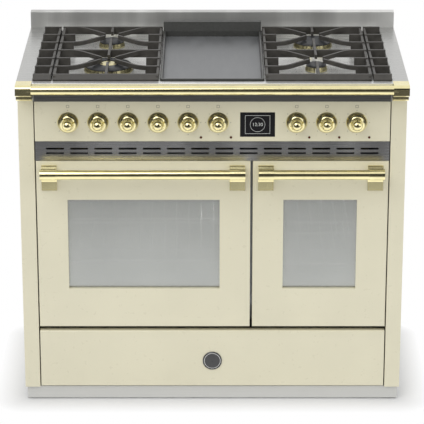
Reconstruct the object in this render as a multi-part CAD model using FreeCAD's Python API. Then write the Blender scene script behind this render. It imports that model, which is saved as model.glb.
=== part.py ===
"""Freestanding range cooker with two ovens, a hob of four gas burners round an electric griddle,
and a storage drawer.

Millimetres, +Z up, +X to the right seen from the front, +Y towards the back.
The origin is on the floor, midway between the sides and midway between front rail and back panel.
Each piece is written to its own STEP file in parts/.
"""
import FreeCAD, Part
import math
import os

V = FreeCAD.Vector
X_AXIS = V(1, 0, 0)
Y_AXIS = V(0, 1, 0)
Z_AXIS = V(0, 0, 1)

# ---------------------------------------------------------------- driving dimensions
WIDTH = 1000.0               # over the side panels
DEPTH = 600.0                # front of the rail to the back panel
HOB_HEIGHT = 895.0           # floor to the rim of the hob
RAIL_REACH = 70.0            # front rail ahead of the doors' faces
SHEET = 1.5                  # folded steel sheet
SEAT_GAP = 0.3               # between pieces that lie side by side and move apart

BACKGUARD_HEIGHT = 45.0
BACKGUARD_DEPTH = 24.0
PLINTH_HEIGHT = 38.0
PLINTH_GAP = 4.0             # plinth off the floor
POST_WIDTH = 40.0
POST_RETURN = 30.0
DRAWER_HEIGHT = 159.0
DRAWER_FLOOR_GAP = 3.0
FINGER_GAP = 12.0
VENT_HEIGHT = 52.0
CONTROL_HEIGHT = 108.0
APRON_HEIGHT = 35.0
RIM_HEIGHT = 25.0            # top of the apron to the rim of the hob
SIDE_GAP = 3.0               # doors and drawer to the posts
DOOR_GAP = 6.0               # between the two doors
DOOR_TOP_GAP = 1.5

RIGHT_DOOR_WIDTH = 352.0
DOOR_THICKNESS = 42.0
DOOR_SKIN_DEPTH = 20.0       # outer pan of the door
WINDOW_SIDE = 80.0           # door edge to window
WINDOW_BELOW = 108.0
WINDOW_ABOVE = 106.5
WINDOW_DEPTH = 10.0          # folded edge round the window
GLASS = 4.0
GLASS_LAP = 12.0             # outer glass beyond its window
PIN_RADIUS = 4.0
PIN_SET_BACK = 30.0          # hinge pin behind the door's face
PIN_HEIGHT = 30.0            # hinge pin above the door's bottom edge
HINGE_INSET = 40.0           # hinge arm to the door's edge
RUNNING_GAP = 0.05           # radial, round pins and spindles

HANDLE_RADIUS = 12.5
HANDLE_REACH = 54.0          # tube's axis ahead of the door
HANDLE_DROP = 19.5           # tube's axis below the door's top edge
BRACKET_WIDTH = 40.0
BRACKET_INSET = 14.0         # bracket to door edge
FLANGE_HEIGHT = 68.0
FLANGE_THICKNESS = 4.0

MOUTH_SIDE = 54.0            # oven mouth to the door's edge
MOUTH_CLEARANCE = 3.0        # liner's flange to the chassis step under it
LINER_FLANGE = 7.0
MOUTH_ABOVE = 46.0
MOUTH_CORNER = 15.0
OVEN_DEPTH = 400.0
INSULATION = 20.0
SEAL_WIDTH = 8.0
SEAL_DEPTH = 1.7             # silicone seal, front to back

KNOB_PITCH = 77.3
KNOB_EDGE = 86.0             # end of the control panel to the outer knobs
KNOB_RISE = 51.0             # above the control panel's bottom edge
LEFT_KNOBS = 6
RIGHT_KNOBS = 3
GAS_KNOBS = 4
SPINDLE_RADIUS = 4.0
PUSH_TRAVEL = 3.0
DISPLAY_WIDTH = 89.0
DISPLAY_HEIGHT = 65.0
DISPLAY_RISE = 13.0          # above the control panel's bottom edge

SLOT_LENGTH = 46.3
SLOT_HEIGHT = 5.0
SLOT_PITCH = 62.5
SLOT_COLUMNS = 14
SLOT_ROWS = 2
SLOT_ROW_PITCH = 12.3
SLOT_RISE = 20.0             # lower row above the strip's bottom edge

RAIL_RADIUS = 12.0
LIP_REACH = 44.0             # front lip of the hob ahead of the doors' faces
TRAY_SIDE = 40.0             # flat strip at each side of the hob
TRAY_FRONT = 22.0            # tray's front wall ahead of the doors' faces
TRAY_BACK = 34.0             # strip behind the tray
TRAY_DEPTH = 25.0
TRAY_CORNER = 8.0
SKIRT = 35.0

GRIDDLE_WIDTH = 266.0
GRIDDLE_WALL = 6.0
GRIDDLE_RISE = 5.0           # griddle's rim above the hob's rim
GRIDDLE_DROP = 10.0          # plate's face below the hob's rim
GRIDDLE_BACK_RISE = 30.0
GRIDDLE_BACK_DEPTH = 22.0
GRIDDLE_PLATE = 8.0
GRIDDLE_PLAY = 0.5           # plate to the frame, frame to the hob's cut-out
GRIDDLE_LEDGE = 2.5          # ledge the plate lies on, inside the walls
GRIDDLE_FOOT = 5.0           # frame's foot on the tray, outside the cut-out
GRIDDLE_SPIGOT = 4.0         # frame below the tray's floor

GRATE_RISE = 15.0            # grates above the hob's rim
GRATE_BAR = 20.0             # depth of a grate bar
SIDE_BAR = 27.0              # depth of the side grates' bars
BAR_WIDTH = 8.0
GRATE_GAP = 4.0
SIDE_GRATE_WIDTH = 46.0
FINGER_DEPTH = 11.0          # curved fingers, and every bar above a burner
GRATE_ROWS = 7
FRONT_BURNER_ROW = 2
BACK_BURNER_ROW = 5

PEDESTAL = 5.0               # pressed pedestal under each burner
PEDESTAL_HALF = 66.0
CROWN_HEIGHT = 12.0
CAP_HEIGHT = 7.0
FLANGE = 2.0                 # burner base's rim
FRONT_LEFT_BURNER = 64.0
FRONT_RIGHT_BURNER = 29.0
BACK_LEFT_BURNER = 35.0
BACK_RIGHT_BURNER = 52.0
WOK_BORE = 26.0
WOK_HEART = 22.5

DRAWER_TRAVEL = 300.0

# ---------------------------------------------------------------- worked-out places
HALF = WIDTH / 2
FRONT = -DEPTH / 2 + RAIL_REACH
BACK = DEPTH / 2
INNER = HALF - POST_WIDTH
DRAWER_BOTTOM = PLINTH_HEIGHT + DRAWER_FLOOR_GAP
DRAWER_TOP = DRAWER_BOTTOM + DRAWER_HEIGHT
DOOR_BOTTOM = DRAWER_TOP + FINGER_GAP
CONTROL_TOP = HOB_HEIGHT - RIM_HEIGHT - APRON_HEIGHT
CONTROL_BOTTOM = CONTROL_TOP - CONTROL_HEIGHT
VENT_BOTTOM = CONTROL_BOTTOM - VENT_HEIGHT
DOOR_TOP = VENT_BOTTOM - DOOR_TOP_GAP
SIDE_TOP = HOB_HEIGHT - SKIRT
PANEL_HALF = INNER - 2.5

LEFT_DOOR = (-INNER + SIDE_GAP, INNER - SIDE_GAP - RIGHT_DOOR_WIDTH - DOOR_GAP)
RIGHT_DOOR = (INNER - SIDE_GAP - RIGHT_DOOR_WIDTH, INNER - SIDE_GAP)
PIN_Y = FRONT + PIN_SET_BACK
PIN_Z = DOOR_BOTTOM + PIN_HEIGHT
FRAME_FRONT = FRONT + DOOR_THICKNESS + SEAT_GAP + SEAL_DEPTH
FRAME_BOTTOM = PIN_Z + DOOR_THICKNESS - PIN_SET_BACK + 2.5
SWING = math.hypot(DOOR_THICKNESS - PIN_SET_BACK, PIN_HEIGHT)
STEP_BACK = PIN_Y + SWING + 7.7
SHELF_TOP = DRAWER_TOP + 6.5
MOUTH_BOTTOM = FRAME_BOTTOM + SHEET + MOUTH_CLEARANCE + LINER_FLANGE
MOUTH_TOP = DOOR_TOP - MOUTH_ABOVE
OVEN_BACK = FRAME_FRONT + OVEN_DEPTH

TRAY_FLOOR = HOB_HEIGHT - TRAY_DEPTH
TRAY_HALF = HALF - TRAY_SIDE
HOB_BACK = BACK - BACKGUARD_DEPTH
TRAY_REAR = HOB_BACK - TRAY_BACK
GRATE_TOP = HOB_HEIGHT + GRATE_RISE
GRIDDLE_HALF = GRIDDLE_WIDTH / 2
GRATE_INNER = GRIDDLE_HALF + GRATE_GAP
SIDE_GRATE_OUTER = TRAY_HALF - 2
GRATE_OUTER = SIDE_GRATE_OUTER - SIDE_GRATE_WIDTH - 5.5
BURNER_X = (GRATE_INNER + GRATE_OUTER) / 2
FIRST_ROW = FRONT - TRAY_FRONT + 12
ROW_PITCH = (TRAY_REAR - 15 - FIRST_ROW) / (GRATE_ROWS - 1)
ROWS = [FIRST_ROW + ROW_PITCH * index for index in range(GRATE_ROWS)]
SEAT_Z = TRAY_FLOOR + PEDESTAL
CROWN_TOP = SEAT_Z + FLANGE + CROWN_HEIGHT
CAP_TOP = CROWN_TOP + CAP_HEIGHT
BURNERS = [
    (-BURNER_X, ROWS[FRONT_BURNER_ROW], FRONT_LEFT_BURNER),
    (BURNER_X, ROWS[FRONT_BURNER_ROW], FRONT_RIGHT_BURNER),
    (-BURNER_X, ROWS[BACK_BURNER_ROW], BACK_LEFT_BURNER),
    (BURNER_X, ROWS[BACK_BURNER_ROW], BACK_RIGHT_BURNER),
]
KNOB_Z = CONTROL_BOTTOM + KNOB_RISE
KNOB_X = [-PANEL_HALF + KNOB_EDGE + KNOB_PITCH * index for index in range(LEFT_KNOBS)]
KNOB_X += [PANEL_HALF - KNOB_EDGE - KNOB_PITCH * index for index in reversed(range(RIGHT_KNOBS))]
DISPLAY_X = KNOB_X[LEFT_KNOBS - 1] + 101.5


# ---------------------------------------------------------------- helpers
def block(x0, x1, y0, y1, z0, z1):
    return Part.makeBox(x1 - x0, y1 - y0, z1 - z0, V(x0, y0, z0))


def rod(radius, start, end):
    """Round bar between two points."""
    return Part.makeCylinder(radius, (end - start).Length, start, end - start)


def fuse(shapes):
    first, *rest = shapes
    return first.multiFuse(rest).removeSplitter() if rest else first


def edges_at(shape, axis, places):
    """Straight edges along an axis that pass through any of the given (u, v) places across it."""
    found = []
    for edge in shape.Edges:
        start = edge.Vertexes[0].Point
        end = edge.Vertexes[-1].Point
        run = end - start
        if run.Length < 1e-6 or abs(abs(run.normalize().dot(axis)) - 1) > 1e-6:
            continue
        across = [value for value, part in zip(start, axis) if abs(part) < 0.5]
        if any(math.dist(across, place) < 0.01 for place in places):
            found.append(edge)
    return found


def round_edges(shape, axis, places, radius):
    return shape.makeFillet(radius, edges_at(shape, axis, places))


def rounded_block(x0, x1, y0, y1, z0, z1, axis, radius):
    """Box with its four edges along one axis rounded."""
    spans = [pair for pair, part in zip(((x0, x1), (y0, y1), (z0, z1)), axis) if abs(part) < 0.5]
    corners = [(u, v) for u in spans[0] for v in spans[1]]
    return round_edges(block(x0, x1, y0, y1, z0, z1), axis, corners, radius)


def extrude(points, direction):
    """Prism from a closed outline of points."""
    wire = Part.makePolygon(points + points[:1])
    return Part.Face(wire).extrude(direction)


def turned(profile, centre, axis):
    """Solid of revolution from (distance along axis, radius) points, starting and ending on it."""
    side = X_AXIS if abs(axis.x) < 0.5 else Z_AXIS
    points = [centre + axis * along + side * radius for along, radius in profile]
    wire = Part.makePolygon(points + points[:1])
    return Part.Face(wire).revolve(centre, axis, 360)


def mirrored(shape):
    return shape.mirror(V(0, 0, 0), X_AXIS)


def rounded_loop(x0, x1, y0, y1, z, radius):
    """Edges of a flat rounded rectangle, starting along its front."""
    inset = radius * (1 - math.sqrt(0.5))
    front = Part.LineSegment(V(x0 + radius, y0, z), V(x1 - radius, y0, z)).toShape()
    right = Part.LineSegment(V(x1, y0 + radius, z), V(x1, y1 - radius, z)).toShape()
    rear = Part.LineSegment(V(x1 - radius, y1, z), V(x0 + radius, y1, z)).toShape()
    left = Part.LineSegment(V(x0, y1 - radius, z), V(x0, y0 + radius, z)).toShape()
    middles = [V(x1 - inset, y0 + inset, z), V(x1 - inset, y1 - inset, z),
               V(x0 + inset, y1 - inset, z), V(x0 + inset, y0 + inset, z)]
    sides = [front, right, rear, left]
    edges = []
    for index, middle in enumerate(middles):
        start = sides[index].Vertexes[-1].Point
        end = sides[(index + 1) % 4].Vertexes[0].Point
        edges += [sides[index], Part.Arc(start, middle, end).toShape()]
    return edges


def swept(radius, edges):
    """Round bar along joined edges."""
    path = Part.Wire(edges)
    start = path.Edges[0].valueAt(path.Edges[0].FirstParameter)
    along = path.Edges[0].tangentAt(path.Edges[0].FirstParameter)
    ring = Part.Wire(Part.makeCircle(radius, start, along))
    return path.makePipeShell([ring], True, False)


def save(name, *solids):
    """Write one named piece, of one solid or a group of like solids."""
    shape = solids[0] if len(solids) == 1 else Part.makeCompound(list(solids))
    shape.exportStep(os.path.join("parts", name + ".step"))


# ---------------------------------------------------------------- cabinet
def side_panel():
    """Left side: wall, front post with its return, and rear return, folded from one sheet."""
    outline = [
        (-HALF, FRONT),
        (-INNER, FRONT),
        (-INNER, FRONT + POST_RETURN),
        (-INNER - SHEET, FRONT + POST_RETURN),
        (-INNER - SHEET, FRONT + SHEET),
        (-HALF + SHEET, FRONT + SHEET),
        (-HALF + SHEET, BACK - 2 * SHEET),
        (-HALF + 20, BACK - 2 * SHEET),
        (-HALF + 20, BACK - SHEET),
        (-HALF, BACK - SHEET),
    ]
    height = SIDE_TOP - PLINTH_HEIGHT
    panel = extrude([V(x, y, PLINTH_HEIGHT) for x, y in outline], V(0, 0, height))
    top_return = block(-HALF, -HALF + 20, FRONT + SHEET, BACK - SHEET, SIDE_TOP - SHEET, SIDE_TOP)
    panel = panel.fuse(top_return).removeSplitter()
    return round_edges(panel, Z_AXIS, [(-HALF, FRONT), (-INNER, FRONT)], 1.2)


def back_panel():
    """Galvanised back with rows of louvre slots and holes for gas pipe and cable."""
    panel = block(-HALF, HALF, BACK - SHEET, BACK, PLINTH_HEIGHT, SIDE_TOP)
    slot = rounded_block(-40, 40, BACK - 5, BACK + 5, -3, 3, Y_AXIS, 2.9)
    for column in (-1, 0, 1):
        for row in range(8):
            panel = panel.cut(slot.translated(V(column * WIDTH / 4, 0, SHELF_TOP + 90 + row * 22)))
    panel = panel.cut(rod(GAS_HOLE_RADIUS, V(GAS_X, BACK - 5, GAS_Z), V(GAS_X, BACK + 5, GAS_Z)))
    return panel.cut(rod(GLAND_RADIUS, V(CABLE_X, BACK - 5, CABLE_Z), V(CABLE_X, BACK + 5, CABLE_Z)))


def base_pan():
    """Floor of the cabinet, with its sides and back turned up."""
    inside = HALF - SHEET
    front = FRONT + POST_RETURN + 2
    rear = BACK - 2 * SHEET
    pan = block(-inside, inside, front, rear, PLINTH_HEIGHT, PLINTH_HEIGHT + 25)
    hollow = block(-inside + SHEET, inside - SHEET, front - 1, rear - SHEET, PLINTH_HEIGHT + SHEET, 100)
    return pan.cut(hollow)


def plinth():
    """Kick plate: front, two side returns and a top flange under the posts."""
    half = HALF - 5
    front = FRONT + 6
    outer = block(-half, half, front, front + 124, PLINTH_GAP, PLINTH_HEIGHT)
    inner = block(-half + SHEET, half - SHEET, front + SHEET, front + 130, 0, PLINTH_HEIGHT + 1)
    flange = block(-half, half, front, front + 64, PLINTH_HEIGHT - SHEET, PLINTH_HEIGHT)
    plate = outer.cut(inner).fuse(flange).removeSplitter()
    return round_edges(plate, Z_AXIS, [(-half, front), (half, front)], 1.2)


def levelling_feet():
    """Four screw feet under the base pan."""
    profile = [(0, 0), (0, 22), (5, 22), (11, 13), (11, 6), (28, 6), (28, 15), (PLINTH_HEIGHT, 15)]
    profile.append((PLINTH_HEIGHT, 0))
    return [turned(profile, V(x, y, 0), Z_AXIS) for x in (-FOOT_X, FOOT_X) for y in FOOT_Y]


FOOT_X = HALF - 55
FOOT_Y = (FRONT + 100, BACK - 60)
GAS_X = -HALF + 60
GAS_HOLE_RADIUS = 30.0
GAS_PIPE_RADIUS = 10.0
NIPPLE_RADIUS = 10.48        # half-inch pipe thread, outside
NIPPLE_LENGTH = 18.0
GAS_Z = KNOB_Z - 15 - GAS_PIPE_RADIUS
CABLE_X = HALF - 90
CABLE_Z = SHELF_TOP + 40
GLAND_RADIUS = 12.0


def mouth(door, inset=0.0, front=0.0, depth=1.0):
    """Rounded block through one oven's mouth."""
    return rounded_block(
        door[0] + MOUTH_SIDE - inset, door[1] - MOUTH_SIDE + inset, front, front + depth,
        MOUTH_BOTTOM - inset, MOUTH_TOP + inset, Y_AXIS, MOUTH_CORNER + inset)


def oven_chassis():
    """Frame plate with the two oven mouths, stepped back below the hinges, then a shelf to the back."""
    inside = HALF - SHEET
    plate = block(-inside, inside, FRAME_FRONT, FRAME_FRONT + SHEET, FRAME_BOTTOM, VENT_BOTTOM + 10)
    step = block(-inside, inside, FRAME_FRONT, STEP_BACK, FRAME_BOTTOM, FRAME_BOTTOM + SHEET)
    drop = block(-inside, inside, STEP_BACK - SHEET, STEP_BACK, SHELF_TOP - SHEET, FRAME_BOTTOM + SHEET)
    shelf = block(-inside, inside, STEP_BACK - SHEET, BACK - 2 * SHEET, SHELF_TOP - SHEET, SHELF_TOP)
    chassis = fuse([plate, step, drop, shelf])
    for door in (LEFT_DOOR, RIGHT_DOOR):
        chassis = chassis.cut(mouth(door, 0, FRAME_FRONT - 5, 10))
    return chassis


def door_gaskets():
    """Flat silicone seals round the mouths, just clear of the closed doors."""
    front = FRONT + DOOR_THICKNESS + SEAT_GAP
    rings = []
    for door in (LEFT_DOOR, RIGHT_DOOR):
        outer = mouth(door, SEAL_WIDTH + 1, front, SEAL_DEPTH)
        rings.append(outer.cut(mouth(door, 1, front - 1, SEAL_DEPTH + 2)))
    return rings


def oven_liner(door, shaft_hole):
    """Enamelled oven box, open at the front, with a flange behind the frame plate."""
    front = FRAME_FRONT + SHEET
    outer = mouth(door, SHEET, front, OVEN_BACK - front)
    inner = mouth(door, 0, front - 1, OVEN_BACK - front + 1 - SHEET)
    flange = mouth(door, LINER_FLANGE, front, SHEET).cut(mouth(door, 0, front - 1, SHEET + 2))
    liner = outer.cut(inner).fuse(flange).removeSplitter()
    if shaft_hole:
        liner = liner.cut(rod(8, V(FAN_X, OVEN_BACK - 9, FAN_Z), V(FAN_X, OVEN_BACK + 9, FAN_Z)))
    return liner


def oven_insulation():
    """Mineral wool wrapped round each oven box, with a hole for the fan motor."""
    wraps = []
    front = STEP_BACK + 2
    for door in (LEFT_DOOR, RIGHT_DOOR):
        outer = mouth(door, SHEET + INSULATION, front, OVEN_BACK + INSULATION - front)
        wraps.append(outer.cut(mouth(door, SHEET, front - 1, OVEN_BACK - front + 1)))
    motor_hole = rod(MOTOR_RADIUS + 3, V(FAN_X, OVEN_BACK - 1, FAN_Z), V(FAN_X, OVEN_BACK + 60, FAN_Z))
    wraps[0] = wraps[0].cut(motor_hole)
    return wraps


# ---------------------------------------------------------------- fan and heating elements
FAN_X = (LEFT_DOOR[0] + LEFT_DOOR[1]) / 2
FAN_Z = (MOUTH_BOTTOM + MOUTH_TOP) / 2
FAN_RADIUS = 72.0
FAN_BLADES = 12
COVER_HALF = 110.0
COVER_DEPTH = 44.0
MOTOR_RADIUS = 36.0
MOTOR_LENGTH = 46.0
LINER_BACK = OVEN_BACK - SHEET
ELEMENT_RADIUS = 3.5


def fan_cover():
    """Pressed cover over the fan, with a rosette of inlet slots and outlet slots at the sides."""
    front = LINER_BACK - COVER_DEPTH
    half = COVER_HALF
    outer = rounded_block(FAN_X - half, FAN_X + half, front, LINER_BACK, FAN_Z - half, FAN_Z + half,
                          Y_AXIS, 18)
    inner = rounded_block(FAN_X - half + SHEET, FAN_X + half - SHEET, front + SHEET, LINER_BACK + 1,
                          FAN_Z - half + SHEET, FAN_Z + half - SHEET, Y_AXIS, 18 - SHEET)
    cover = outer.cut(inner)
    slot = rounded_block(FAN_X - 3, FAN_X + 3, front - 2, front + 4, FAN_Z + 22, FAN_Z + 62, Y_AXIS, 2.9)
    for index in range(12):
        cover = cover.cut(slot.rotated(V(FAN_X, front, FAN_Z), Y_AXIS, 30 * index))
    vent = block(FAN_X - half - 2, FAN_X + half + 2, LINER_BACK - 26, LINER_BACK - 14, -30, -24)
    for row in range(-1, 4):
        cover = cover.cut(vent.translated(V(0, 0, FAN_Z + 36 * row)))
    return cover


def fan_motor():
    """Motor can on the back of the left oven, with the bore its shaft turns in."""
    rear = OVEN_BACK + MOTOR_LENGTH
    can = turned([(0, 0), (0, MOTOR_RADIUS), (8, MOTOR_RADIUS), (8, 27), (MOTOR_LENGTH - 4, 27),
                  (MOTOR_LENGTH, 20), (MOTOR_LENGTH, 0)], V(FAN_X, OVEN_BACK, FAN_Z), Y_AXIS)
    bore = SPINDLE_RADIUS + RUNNING_GAP
    return can.cut(rod(bore, V(FAN_X, OVEN_BACK - 1, FAN_Z), V(FAN_X, rear - 8, FAN_Z)))


def fan_wheel():
    """Centrifugal wheel: back disc, hub, curved blades and shaft."""
    back = LINER_BACK - 8
    centre = V(FAN_X, back, FAN_Z)
    disc = turned([(0, 0), (0, FAN_RADIUS), (-1.5, FAN_RADIUS), (-3, 14), (-20, 12), (-20, 0)],
                  centre, Y_AXIS)
    inner = V(26, 0, 0)
    middle = V(50, 0, 5)
    tip = V(FAN_RADIUS - 1, 0, 16)
    curve = Part.Arc(inner, middle, tip).toShape()
    shifted = Part.Arc(inner + V(0, 0, 1.5), middle + V(0, 0, 1.5), tip + V(0, 0, 1.5)).toShape()
    blade = Part.makeRuledSurface(curve, shifted).extrude(V(0, -20, 0))
    blade.translate(centre + V(0, -1, 0))
    pieces = [disc]
    for index in range(FAN_BLADES):
        pieces.append(blade.rotated(centre, Y_AXIS, 360 * index / FAN_BLADES))
    pieces.append(rod(SPINDLE_RADIUS, centre, V(FAN_X, OVEN_BACK + MOTOR_LENGTH - 9, FAN_Z)))
    return fuse(pieces)


def hairpin(x0, x1, y0, y1, z, runs):
    """Flat serpentine of straight runs along Y joined by half circles, both its ends at y1."""
    pitch = (x1 - x0) / (runs - 1)
    bend = pitch / 2
    edges = []
    for index in range(runs):
        x = x0 + pitch * index
        low = V(x, y0 + bend, z)
        high = V(x, y1 if index in (0, runs - 1) else y1 - bend - 15, z)
        start, end = (high, low) if index % 2 == 0 else (low, high)
        edges.append(Part.LineSegment(start, end).toShape())
        if index < runs - 1:
            way = -1 if index % 2 == 0 else 1
            peak = V(x + bend, end.y + way * bend, z)
            edges.append(Part.Arc(end, peak, V(x + pitch, end.y, z)).toShape())
    return edges


def heating_elements():
    """Grill element in the roof of each oven, ring round the fan, and the griddle's own element."""
    solids = []
    for door, runs in ((LEFT_DOOR, 6), (RIGHT_DOOR, 4)):
        x0 = door[0] + MOUTH_SIDE + 45
        x1 = door[1] - MOUTH_SIDE - 45
        edges = hairpin(x0, x1, FRAME_FRONT + 60, LINER_BACK, MOUTH_TOP - 22, runs)
        solids.append(swept(ELEMENT_RADIUS, edges))
    ring_y = LINER_BACK - 22
    solids.append(Part.makeTorus(88, ELEMENT_RADIUS, V(FAN_X, ring_y, FAN_Z), Y_AXIS))
    tail = rod(ELEMENT_RADIUS, V(FAN_X, ring_y, FAN_Z + 88), V(FAN_X, LINER_BACK, FAN_Z + 88))
    solids[2] = solids[2].fuse(tail)
    plate_x = GRIDDLE_HALF - 40
    edges = hairpin(-plate_x, plate_x, FRONT + 40, TRAY_REAR - 40, PLATE_BOTTOM - ELEMENT_RADIUS, 6)
    solids.append(swept(ELEMENT_RADIUS, edges))
    return solids


# ---------------------------------------------------------------- racks
RAIL_WIRE = 2.5
RAIL_OFFSET = 9.0            # runner rails off the oven wall
RACK_WIRE = 3.0
CROSS_WIRE = 2.0
RACK_FRONT = FRAME_FRONT + 16
RACK_REAR = LINER_BACK - COVER_DEPTH - 6
RUNNER_LEVELS = 5
LEFT_LEVELS = [MOUTH_BOTTOM + 48 + 53.5 * index for index in range(RUNNER_LEVELS)]
RIGHT_LEVELS = [MOUTH_BOTTOM + 49 + 43.0 * index for index in range(RUNNER_LEVELS)]
RACKED = (1, 3)


def rack_runner(wall, way, levels):
    """Wire ladder on one oven wall: two uprights and a rail for each level."""
    upright_x = wall + way * RAIL_WIRE
    rail_x = wall + way * RAIL_OFFSET
    wires = []
    for y in (RACK_FRONT + 30, RACK_REAR - 30):
        wires.append(rod(RAIL_WIRE, V(upright_x, y, levels[0] - 20), V(upright_x, y, levels[-1] + 20)))
    for z in levels:
        wires.append(rod(RAIL_WIRE, V(rail_x, RACK_FRONT, z), V(rail_x, RACK_REAR, z)))
        for y in (RACK_FRONT + 30, RACK_REAR - 30):
            wires.append(rod(RAIL_WIRE * 0.8, V(upright_x, y, z), V(rail_x, y, z)))
    return fuse(wires)


def rack_runners():
    sides = []
    for door, levels in ((LEFT_DOOR, LEFT_LEVELS), (RIGHT_DOOR, RIGHT_LEVELS)):
        sides.append(rack_runner(door[0] + MOUTH_SIDE, 1, levels))
        sides.append(rack_runner(door[1] - MOUTH_SIDE, -1, levels))
    return sides


def oven_rack(x0, x1, level):
    """Wire shelf: a loop of thick wire lying on the runners, with cross wires between."""
    z = level + RAIL_WIRE + RACK_WIRE
    left = x0 + RAIL_OFFSET
    right = x1 - RAIL_OFFSET
    front = RACK_FRONT + RACK_WIRE
    rear = RACK_REAR - RACK_WIRE
    wires = [swept(RACK_WIRE, rounded_loop(left, right, front, rear, z, 14))]
    count = round((right - left) / 34)
    for index in range(1, count):
        x = left + (right - left) * index / count
        wires.append(rod(CROSS_WIRE, V(x, front, z + 0.6), V(x, rear, z + 0.6)))
    return fuse(wires)


def oven_racks():
    racks = []
    for door, levels in ((LEFT_DOOR, LEFT_LEVELS), (RIGHT_DOOR, RIGHT_LEVELS)):
        for index in RACKED:
            racks.append(oven_rack(door[0] + MOUTH_SIDE, door[1] - MOUTH_SIDE, levels[index]))
    return racks


# ---------------------------------------------------------------- doors
ARM_WIDTH = 6.0
ARM_RADIUS = 9.0
EAR_WIDTH = 9.0
EAR_GAP = 1.0


def hinge_places(door):
    return (door[0] + HINGE_INSET, door[1] - HINGE_INSET)


def door_hinges():
    """Four hinge arms on the stepped rail, each with its riveted pin."""
    arms = []
    for door in (LEFT_DOOR, RIGHT_DOOR):
        for x in hinge_places(door):
            eye = rod(ARM_RADIUS, V(x - ARM_WIDTH / 2, PIN_Y, PIN_Z), V(x + ARM_WIDTH / 2, PIN_Y, PIN_Z))
            foot_y = STEP_BACK - SHEET
            arm = block(x - ARM_WIDTH / 2, x + ARM_WIDTH / 2, PIN_Y, foot_y,
                        PIN_Z - ARM_RADIUS, PIN_Z + ARM_RADIUS)
            foot = rounded_block(x - 14, x + 14, foot_y - 3, foot_y, PIN_Z - 28, PIN_Z + 12, Y_AXIS, 5)
            reach = ARM_WIDTH / 2 + EAR_GAP + EAR_WIDTH
            pin = rod(PIN_RADIUS, V(x - reach, PIN_Y, PIN_Z), V(x + reach, PIN_Y, PIN_Z))
            arms.append(fuse([eye, arm, foot, pin]))
    return arms


def window(door, inset=0.0):
    """Low and high corners of a door's window in X and Z, grown by inset."""
    return (door[0] + WINDOW_SIDE - inset, door[1] - WINDOW_SIDE + inset,
            DOOR_BOTTOM + WINDOW_BELOW - inset, DOOR_TOP - WINDOW_ABOVE + inset)


def door_panel(door):
    """Enamelled outer pan with its edges turned back and a folded edge round the window."""
    x0, x1 = door
    rear = FRONT + DOOR_SKIN_DEPTH
    outer = block(x0, x1, FRONT, rear, DOOR_BOTTOM, DOOR_TOP)
    outer = outer.makeFillet(2.0, [edge for edge in outer.Edges if edge.CenterOfMass.y < FRONT + 0.1])
    pocket = block(x0 + SHEET, x1 - SHEET, FRONT + SHEET, rear + 1, DOOR_BOTTOM + SHEET, DOOR_TOP - SHEET)
    wx0, wx1, wz0, wz1 = window(door)
    collar = block(wx0 - SHEET, wx1 + SHEET, FRONT + SHEET, FRONT + WINDOW_DEPTH, wz0 - SHEET, wz1 + SHEET)
    opening = block(wx0, wx1, FRONT - 1, FRONT + WINDOW_DEPTH + 1, wz0, wz1)
    panel = outer.cut(pocket).fuse(collar).cut(opening).removeSplitter()
    rim = [edge for edge in panel.Edges
           if abs(edge.CenterOfMass.y - FRONT) < 0.01 and wx0 - 1 < edge.CenterOfMass.x < wx1 + 1
           and wz0 - 1 < edge.CenterOfMass.z < wz1 + 1 and edge.Length < wx1 - wx0 + 1]
    return panel.makeFillet(1.0, rim)


def door_glass(door):
    """Outer mirror glass behind the window's folded edge, and inner glass in the rear frame."""
    x0, x1, z0, z1 = window(door, GLASS_LAP)
    outer_y = FRONT + WINDOW_DEPTH
    outer = block(x0, x1, outer_y, outer_y + GLASS, z0, z1)
    inner_y = FRONT + DOOR_THICKNESS - SHEET
    inner = block(x0, x1, inner_y - GLASS, inner_y, z0, z1)
    return [outer, inner]


def door_inner_frame(door):
    """Pressed rear pan of the door, with a glass opening and the ears that turn on the hinge pins."""
    x0, x1 = door
    front = FRONT + DOOR_SKIN_DEPTH
    rear = FRONT + DOOR_THICKNESS
    outer = block(x0, x1, front, rear, DOOR_BOTTOM, DOOR_TOP)
    outer = outer.makeFillet(2.0, [edge for edge in outer.Edges if edge.CenterOfMass.y > rear - 0.1])
    pocket = block(x0 + SHEET, x1 - SHEET, front - 1, rear - SHEET, DOOR_BOTTOM + SHEET, DOOR_TOP - SHEET)
    wx0, wx1, wz0, wz1 = window(door, 2)
    opening = rounded_block(wx0, wx1, rear - 5, rear + 5, wz0, wz1, Y_AXIS, 8)
    frame = outer.cut(pocket).cut(opening)
    ears = []
    slots = []
    for x in hinge_places(door):
        near = ARM_WIDTH / 2 + EAR_GAP
        for low, high in ((x - near - EAR_WIDTH, x - near), (x + near, x + near + EAR_WIDTH)):
            ears.append(block(low, high, PIN_Y - 9, rear - SHEET, DOOR_BOTTOM + SHEET, PIN_Z + 12))
        slots.append(block(x - near, x + near, front - 1, rear + 1, DOOR_BOTTOM - 1, PIN_Z + 13))
    frame = frame.multiFuse(ears)
    for x, slot in zip(hinge_places(door), slots):
        bore = rod(PIN_RADIUS + RUNNING_GAP, V(x - 30, PIN_Y, PIN_Z), V(x + 30, PIN_Y, PIN_Z))
        frame = frame.cut(slot).cut(bore)
    return frame.removeSplitter()


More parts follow.
